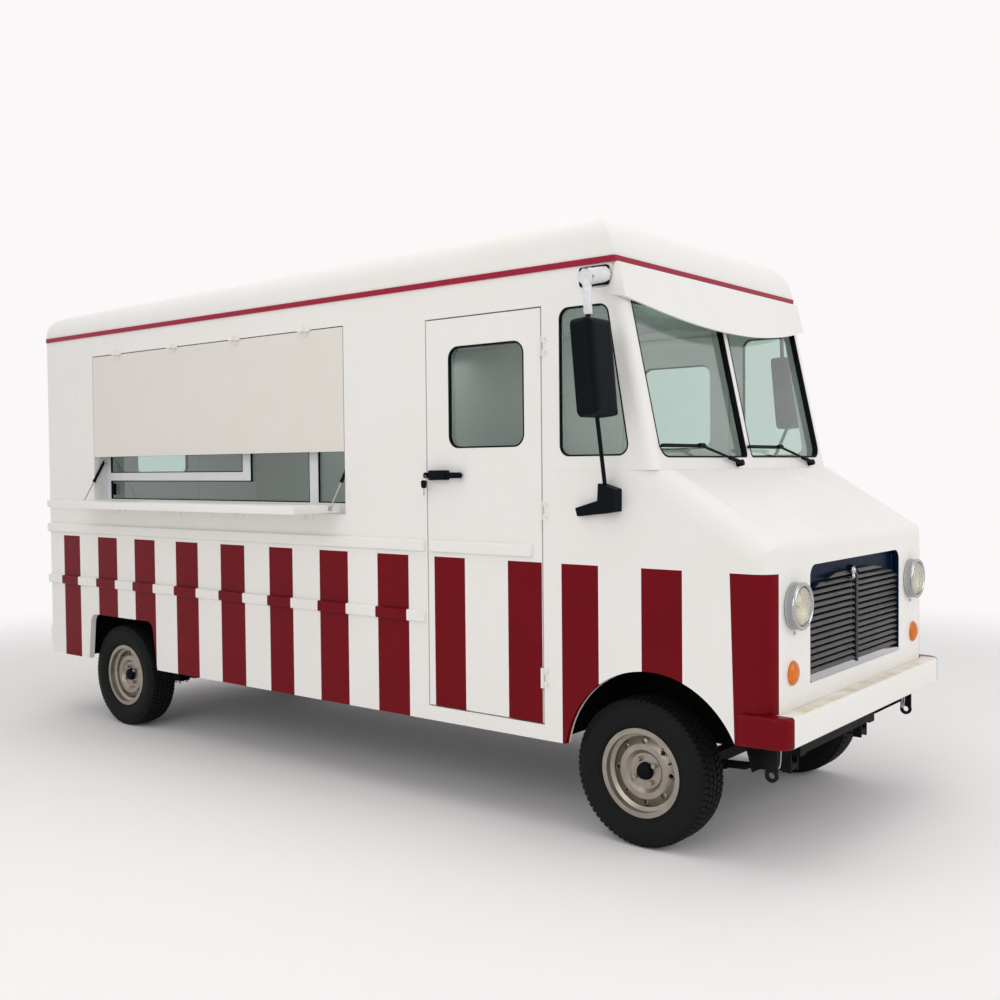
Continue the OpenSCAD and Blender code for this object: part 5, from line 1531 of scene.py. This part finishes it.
@dataclass
class ServingSide:
    """Gaskets and pulls of the serving window, ribs of the hatch, rounded shelf, collars of the gas struts."""

    x: Point2 = (-2.105, 0.273)
    z: Point2 = (1.428, 2.404)
    jamb: float = 0.038
    sill: float = 0.044
    post: float = 0.352
    post_half: float = 0.035
    mullion: float = 0.932
    mullion_half: float = 0.036
    transom: float = 0.190
    transom_half: float = 0.025
    gap: float = 0.0004
    gasket: float = 0.006
    glass_y: float = -0.785
    frame_y: float = -0.797
    pulls: tuple[float, ...] = (-2.030, 0.205)
    pull_z: Point2 = (1.500, 1.575)
    hatch_deep: float = 0.030
    rib: float = 0.030
    rib_margin: float = 0.060
    rib_z: Point2 = (1.790, 2.350)
    strut_top: Point2 = (-0.832, 1.715)
    strut_foot: Point2 = (-0.990, 1.449)
    tube: float = 0.150

    def lights(self, g: float) -> list[list[Point2]]:
        """Outlines of the three lights of the window, drawn in by g."""
        x0, x1 = self.x[0] + self.jamb + g, self.x[1] - self.jamb - g
        m0, m1 = (self.x[1] - self.mullion + s * (self.mullion_half + g) for s in (-1, 1))
        p0, p1 = (self.x[1] - self.post + s * (self.post_half + g) for s in (-1, 1))
        z0, z1 = self.z[0] + self.sill + g, self.z[1] - self.sill - g
        t0, t1 = (self.z[0] + self.transom + s * (self.transom_half + g) for s in (-1, 1))
        return [
            [(x0, t1), (m0, t1), (m0, z1), (x0, z1)],
            [(x0, z0), (p0, z0), (p0, z1), (m1, z1), (m1, t0), (x0, t0)],
            [(p1, z0), (x1, z0), (x1, z1), (p1, z1)],
        ]

    def build(self) -> None:
        """Model the pieces of the serving side."""
        depth = self.glass_y - self.frame_y + 0.001
        glass = Facing.RIGHT.at(0, self.glass_y, 0)
        for k, (outer, inner) in enumerate(zip(self.lights(self.gap), self.lights(self.gasket))):
            gasket = ring(outer, inner, depth, 0.0015)
            finish_piece(gasket, f"serving_gasket_{k + 1}", RUBBER, "body", glass)
        z0, z1 = self.pull_z
        for k, x in enumerate(self.pulls):
            low, high = (x - 0.009, self.frame_y - 0.016, z0), (x + 0.009, self.glass_y - 0.0005, z1)
            finish_piece(soft_box(low, high, 0.004, 3), f"serving_pull_{k + 1}", PLASTIC, "body")
        self._hatch()
        shelf = finish_piece(softened("shelf", 0.004, 2, 60), "soft_shelf", WHITE, "shelf")
        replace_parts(shelf, "shelf")
        for end, x in (("rear", self.x[0] + 0.015), ("front", self.x[1] - 0.015)):
            self._strut(end, x)

    def _hatch(self) -> None:
        """Model the stiffening frame inside the hatch."""
        x0, x1 = self.x[0] + self.rib_margin, self.x[1] - self.rib_margin
        z0, z1 = self.rib_z
        skin = -HALF_WIDTH + self.hatch_deep
        bars = [soft_box((x0, skin, z), (x1, skin + 0.014, z + self.rib), 0.003) for z in (z0, z1 - self.rib)]
        step = (x1 - x0 - self.rib) / 3
        for x in (x0 + k * step for k in range(4)):
            bars.append(soft_box((x, skin, z0), (x + self.rib, skin + 0.0135, z1), 0.003))
        finish_piece(join(bars), "hatch_ribs", FRAME_WHITE, "hatch")

    def _strut(self, end: str, x: float) -> None:
        """Model the collar of a strut's tube and the caps of its foot.

        Args:
            end: Which strut.
            x: Its place along the truck.
        """
        top, foot = Vector((x, *self.strut_top)), Vector((x, *self.strut_foot))
        down = (foot - top).normalized()
        turn = down.to_track_quat("Z", "Y").to_matrix().to_4x4()
        place = Matrix.Translation(top + down * (self.tube - 0.014)) @ turn
        nose = [(0.0095, 0.0142), (0.0048, 0.0145), (0.0048, 0.0141)]
        collar = lathe([(0.0093, 0.0), (0.0108, 0.001), (0.0108, 0.011), *nose], 24)
        finish_piece(collar, f"strut_collar_{end}", PLASTIC, f"strut_tube_{end}", place)
        seat = lathe([(0.0042, 0.0), (0.0075, 0.0), (0.0075, 0.010), (0.0065, 0.012), (0.0042, 0.012)], 20)
        nut = Matrix.Translation(foot - down * 0.024) @ turn
        finish_piece(seat, f"strut_nut_{end}", ZINC, f"strut_rod_{end}", nut)


@dataclass
class Cab:
    """Stuffed seats on their boxes, instruments, grip of the wheel, pedals and the foil ceiling."""

    seat_x: float = 1.265
    seat_y: float = 0.380
    seat_half: float = 0.220
    floor: float = 0.5223
    panel_at: Point3 = (1.882, 0.0, 1.505)
    panel_lean: float = math.radians(-40)
    gauges: tuple[Point2, ...] = ((0.285, 0.9), (0.38, 0.6), (0.475, 1.1))
    vents: tuple[float, ...] = (-0.62, -0.14, 0.08, 0.68)
    pedals: tuple[Point2, ...] = ((0.30, 0.70), (0.46, 0.68))
    steer: Point3 = (1.695, 0.380, 1.330)
    steer_lean: float = math.radians(-48)
    steer_radius: float = 0.190
    grip: float = 0.0152
    grip_steps: int = 72
    voxel: float = 0.008
    pressure: float = 4.0
    frames: int = 20
    ceiling_low: Point2 = (-2.600, -0.855)
    ceiling_high: Point2 = (1.935, 0.855)
    ceiling_z: float = 2.447

    def build(self) -> None:
        """Model the cab's inside."""
        self._seats()
        self._dash()
        self._wheel()
        self._ceiling()

    def _stuffed(self, obj: Piece, held: Callable[[Vector], bool], cap: float) -> Piece:
        """Swell a closed form like a stuffed cover by a cloth simulation.

        Args:
            obj: The form, a little smaller than the cushion.
            held: Says which points rest on something and stay.
            cap: How far a point may move.

        Returns:
            The cushion.
        """
        modify(obj, "REMESH", mode="VOXEL", voxel_size=self.voxel)
        start = [v.co.copy() for v in obj.data.vertices]
        group = obj.vertex_groups.new(name="held")
        group.add([i for i, co in enumerate(start) if held(co)], 1.0, "REPLACE")
        cloth = obj.modifiers.new("cover", "CLOTH")
        cloth.settings.use_pressure = True
        cloth.settings.uniform_pressure_force = self.pressure
        cloth.settings.vertex_group_mass = group.name
        cloth.settings.effector_weights.gravity = 0.0
        cloth.point_cache.frame_end = self.frames
        for step in range(1, self.frames + 1):
            bpy.context.scene.frame_set(step)
        rest()
        bpy.context.view_layer.objects.active = obj
        bpy.ops.object.modifier_apply(modifier=cloth.name)
        bpy.context.scene.frame_set(1)
        for vert, before in zip(obj.data.vertices, start):
            move = vert.co - before
            if move.length > cap:
                vert.co = before + move * (cap / move.length)
        modify(obj, "SMOOTH", factor=0.5, iterations=4)
        return obj

    @staticmethod
    def _channels(
        obj: Piece, along: Callable[[Vector], float], lines: Sequence[float], up: Vector, depth: float
    ) -> None:
        """Press sewn channels into a cushion.

        Args:
            obj: The cushion.
            along: Place of a point across the channels.
            lines: Where the channels run.
            up: Direction of the face that they are sewn in.
            depth: Their depth.
        """
        normals = [v.normal.copy() for v in obj.data.vertices]
        for vert, normal in zip(obj.data.vertices, normals):
            near = min(abs(along(vert.co) - line) for line in lines)
            vert.co -= up * depth * max(normal.dot(up), 0.0) ** 2 * math.exp(-((near / 0.009) ** 2))

    def _seats(self) -> None:
        """Model one seat and copy it to the other side."""
        x, y, z, half = self.seat_x, self.seat_y, self.floor, self.seat_half
        low, high = (x - 0.243, y - half + 0.012, z + 0.284), (x + 0.243, y + half - 0.012, z + 0.398)
        cushion = self._stuffed(soft_box(low, high, 0.034, 4), lambda p: p.z < z + 0.290, 0.014)
        self._channels(cushion, lambda p: p.x, (x - 0.08, x + 0.04, x + 0.16), Vector((0, 0, 1)), 0.007)
        tilt = Matrix.Translation((x - 0.287, y, z + 0.655)) @ Matrix.Rotation(math.radians(-10.5), 4, "Y")
        back = soft_box((-0.044, -half + 0.016, -0.278), (0.046, half - 0.016, 0.286), 0.034, 4)
        back = self._stuffed(back, lambda p: p.x < -0.038, 0.016)
        self._channels(back, lambda p: p.z, (-0.14, 0.0, 0.14), Vector((1, 0, 0)), 0.007)
        back.data.transform(tilt)
        head = soft_box((x - 0.400, y - half + 0.108, z + 0.912), (x - 0.310, y + half - 0.108, z + 1.116), 0.030, 4)
        head = self._stuffed(head, lambda p: p.z < z + 0.915, 0.010)
        box = soft_box((x - 0.200, y - 0.180, z - 0.0003), (x + 0.200, y + 0.180, z + 0.278), 0.012, 3)
        posts = [tube([(x - 0.352, y + dy, z + 0.86), (x - 0.355, y + dy, z + 0.95)], 0.006) for dy in (-0.05, 0.05)]
        parts = (
            ("seat_cushion", cushion, VINYL, "seat_vinyl"),
            ("seat_back", back, VINYL, "seat_vinyl"),
            ("head_rest", head, VINYL, "seat_vinyl"),
            ("seat_box", box, DASH, "dash_plastic"),
            ("head_rest_posts", join(posts), CHROME, "chrome"),
        )
        for name, model, finish, slot in parts:
            for side in Side:
                shift = Matrix.Translation((0, y * (side.value - 1), 0))
                piece = finish_piece(copy_piece(model), f"{name}_{side.word}", finish, "body", shift)
                if finish is VINYL:
                    modify(piece, "SUBSURF", levels=1, render_levels=1)
                if name == "seat_box" and side is Side.RIGHT:
                    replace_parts(piece, "seats")
            bpy.data.objects.remove(model)

    def _dash(self) -> None:
        """Model the instruments, vents, glove box and pedals."""
        slope = Matrix.Translation(self.panel_at) @ Matrix.Rotation(self.panel_lean, 4, "Y")
        panel = slope @ Facing.BACK.at(-0.001, 0, 0)
        hood = box_ring((0.20, -0.075), (0.56, 0.075), 0.012, (0.05, 0.04), 0.040, 0.004)
        finish_piece(hood, "instrument_hood", PLASTIC, "body", panel)
        face = prism(box_outline((0.213, -0.062), (0.547, 0.062), (0.038,) * 4), 0.006, 0.001)
        finish_piece(face, "instrument_face", RUBBER, "body", panel)
        foot = (0.043, 0.004)
        rim = lathe([foot, (0.050, 0.004), (0.050, 0.012), (0.047, 0.015), (0.044, 0.012), foot], 40)
        rims = stamp(rim, [Matrix.Translation((y, 0, 0)) for y, _ in self.gauges])
        finish_piece(rims, "gauge_rims", CHROME, "body", panel)
        needle = soft_box((-0.0015, -0.008, 0.008), (0.0015, 0.034, 0.010), 0.0006)
        turns = [Matrix.Translation((y, 0, 0)) @ Matrix.Rotation(a, 4, "Z") for y, a in self.gauges]
        finish_piece(stamp(needle, turns), "gauge_needles", AMBER, "body", panel)
        vents = []
        for y in self.vents:
            vents.append(box_ring((y - 0.06, -0.03), (y + 0.06, 0.03), 0.007, (0.008, 0.004), 0.008, 0.002))
            for v in (-0.014, 0.0, 0.014):
                vents.append(soft_box((y - 0.054, v - 0.002, 0.0), (y + 0.054, v + 0.002, 0.006), 0.0008))
        finish_piece(join(vents), "dash_vents", PLASTIC, "body", panel)
        lid = prism(box_outline((-0.60, 1.245), (-0.18, 1.385), (0.02,) * 4), 0.006, 0.002)
        finish_piece(lid, "glove_box_lid", DASH, "body", Facing.BACK.at(1.8605, 0, 0))
        pads = []
        for y, high in self.pedals:
            pads.append(soft_box((1.985, y - 0.030, high), (1.997, y + 0.030, high + 0.075), 0.004))
            pads.append(tube([(1.996, y, high + 0.04), (2.07, y, high + 0.16), (2.1115, y, high + 0.20)], 0.007))
        finish_piece(join(pads), "pedals", RUBBER, "body")

    def _wheel(self) -> None:
        """Model the grip round the steering wheel, its horn pad and the two column levers."""
        place = Matrix.Translation(self.steer) @ Matrix.Rotation(self.steer_lean, 4, "Y")
        turns = [math.tau * k / 16 for k in range(17)]
        radius, half, steps = self.steer_radius, self.grip, self.grip_steps

        def hollow(vert: bmesh.types.BMVert) -> bool:
            """Whether a point lies on every third step and inside the grip's middle line."""
            x, y, _ = vert.co
            return round(math.atan2(y, x) / math.tau * steps) % 3 == 0 and math.hypot(x, y) < radius - 0.002

        grip = lathe([(radius + half * math.cos(a), half * math.sin(a)) for a in turns], steps)
        pick(grip, Part.VERT, hollow)
        bpy.ops.transform.resize(value=(1.008, 1.008, 1.0), center_override=(0, 0, 0))
        finish_piece(grip, "wheel_grip", VINYL, "steering_wheel", place)
        pad = lathe([(0.0, 0.020), (0.030, 0.0195), (0.044, 0.017), (0.049, 0.0125), (0.049, 0.011)], 32)
        finish_piece(pad, "horn_pad", PLASTIC, "steering_wheel", place)
        points = ((0.0, 0.02, -0.075), (0.0, 0.09, -0.068), (0.01, 0.15, -0.060))
        levers = [tube([(x, s * y, z) for x, y, z in points], 0.0055) for s in (-1, 1)]
        finish_piece(join(levers), "column_levers", PLASTIC, "body", place)

    def _ceiling(self) -> None:
        """Model the foil under the roof, sagging a little between its battens."""
        low, high = self.ceiling_low, self.ceiling_high
        sheet = started(bpy.ops.mesh.primitive_grid_add, x_subdivisions=180, y_subdivisions=68, size=1.0)
        sheet.scale = (high[0] - low[0], high[1] - low[1], 1.0)
        sheet.location = ((low[0] + high[0]) / 2, 0, self.ceiling_z)
        bpy.ops.object.transform_apply(location=True, rotation=True, scale=True)
        for vert in sheet.data.vertices:
            x, y, _ = vert.co
            broad = math.sin(9.1 * x + 2.3 * math.sin(4.7 * y))
            fine = math.sin(15.3 * x - 6.1 * y + 1.7 * math.sin(7.9 * y))
            vert.co.z += 0.011 * (0.5 * broad + 0.3 * fine) + 0.006 * math.cos(math.tau * x / 0.6)
        modify(sheet, "SOLIDIFY", thickness=0.003)
        finish_piece(sheet, "foil_ceiling", FOIL, "body", smooth=60)


@dataclass
class Kitchen:
    """Cupboard doors and handles of the counter."""

    front: float = -0.388
    low: float = 0.600
    high: float = 1.255
    handle_z: Point2 = (1.05, 1.20)
    handle_out: float = 0.040
    handle_edge: float = 0.045
    bend: float = 0.012
    doors: tuple[Point2, ...] = ((-1.36, -0.97), (-0.95, -0.56), (-0.54, -0.15), (-0.13, 0.24))

    def build(self) -> None:
        """Model the doors and their bar handles."""
        panels, bars = [], []
        (foot, head), out, bend = self.handle_z, self.handle_out, self.bend
        for x0, x1 in self.doors:
            panels.append(prism(box_outline((x0, self.low), (x1, self.high), (0.006,) * 4), 0.014, 0.003))
            x = x1 - self.handle_edge
            points = [(x, foot, 0.010), *arc((x, foot, out - bend), (x, foot, out), (x, foot + bend, out))]
            points += [*arc((x, head - bend, out), (x, head, out), (x, head, out - bend)), (x, head, 0.010)]
            bars.append(tube(points, 0.005))
        place = Facing.LEFT.at(0, self.front, 0)
        finish_piece(join(panels), "cupboard_doors", STAINLESS, "body", place)
        finish_piece(join(bars), "cupboard_handles", CHROME, "body", place)


@dataclass
class Underside:
    """Bolts of the springs, wire loops at the tow eyes and the tread of the rear step."""

    axles: tuple[Point2, ...] = ((2.025, 0.221), (-1.895, 0.229))
    spring_y: float = 0.400
    nut_half: Point2 = (0.022, 0.029)
    wire_y: float = 0.742
    wire_wide: float = 0.033
    step: tuple[float, float, float] = (-2.744, 0.800, 0.590)

    def build(self) -> None:
        """Model the pieces under the body."""
        shank = [(0.007, -0.010), (0.006, -0.020), (0.0, -0.021)]
        nut = lathe([(0.0, 0.0), (0.010, 0.0), (0.011, -0.002), (0.011, -0.009), *shank], 6)
        dx, dy = self.nut_half
        corners = [(dx * u, dy * v) for u in (-1, 1) for v in (-1, 1)]
        places = [
            Matrix.Translation((x + u, side.value * self.spring_y + v, low))
            for x, low in self.axles
            for side in Side
            for u, v in corners
        ]
        finish_piece(stamp(nut, places), "spring_nuts", ZINC, "body")
        for side in Side:
            across = (0.0, 0.013, 0.020, self.wire_wide)
            y, near, far, end = (side.value * (self.wire_y - inward) for inward in across)
            points = [(2.625, y, 0.5316), *arc((2.622, y, 0.45), (2.62, y, 0.42), (2.62, near, 0.42), 6)]
            points += arc((2.62, far, 0.42), (2.62, end, 0.42), (2.622, end, 0.45), 6)
            loop = tube([*points, (2.625, end, 0.5316)], 0.0035)
            finish_piece(loop, f"tow_wire_{side.word}", ZINC, "body")
        x, half, z = self.step
        mat = [soft_box((x, -half, z - 0.001), (x + 0.070, half, z + 0.003), 0.001)]
        for rib in (x + 0.006 + 0.010 * k for k in range(6)):
            mat.append(soft_box((rib, -half + 0.01, z + 0.002), (rib + 0.005, half - 0.01, z + 0.006), 0.001))
        finish_piece(join(mat), "step_tread", RUBBER, "body")


def main() -> None:
    """Build the truck's looks piece by piece."""
    logging.basicConfig(level=logging.INFO, format="%(name)s %(message)s")
    bpy.context.scene.view_settings.view_transform = "Standard"
    rest()
    Stage().build()
    Shell().dress()
    for assembly in (Shell, WindowSeals, Wheels, Lamps, Grille, Mirrors, Doors, ServingSide, Cab, Kitchen, Underside):
        assembly().build()


if __name__ == "__main__":
    main()
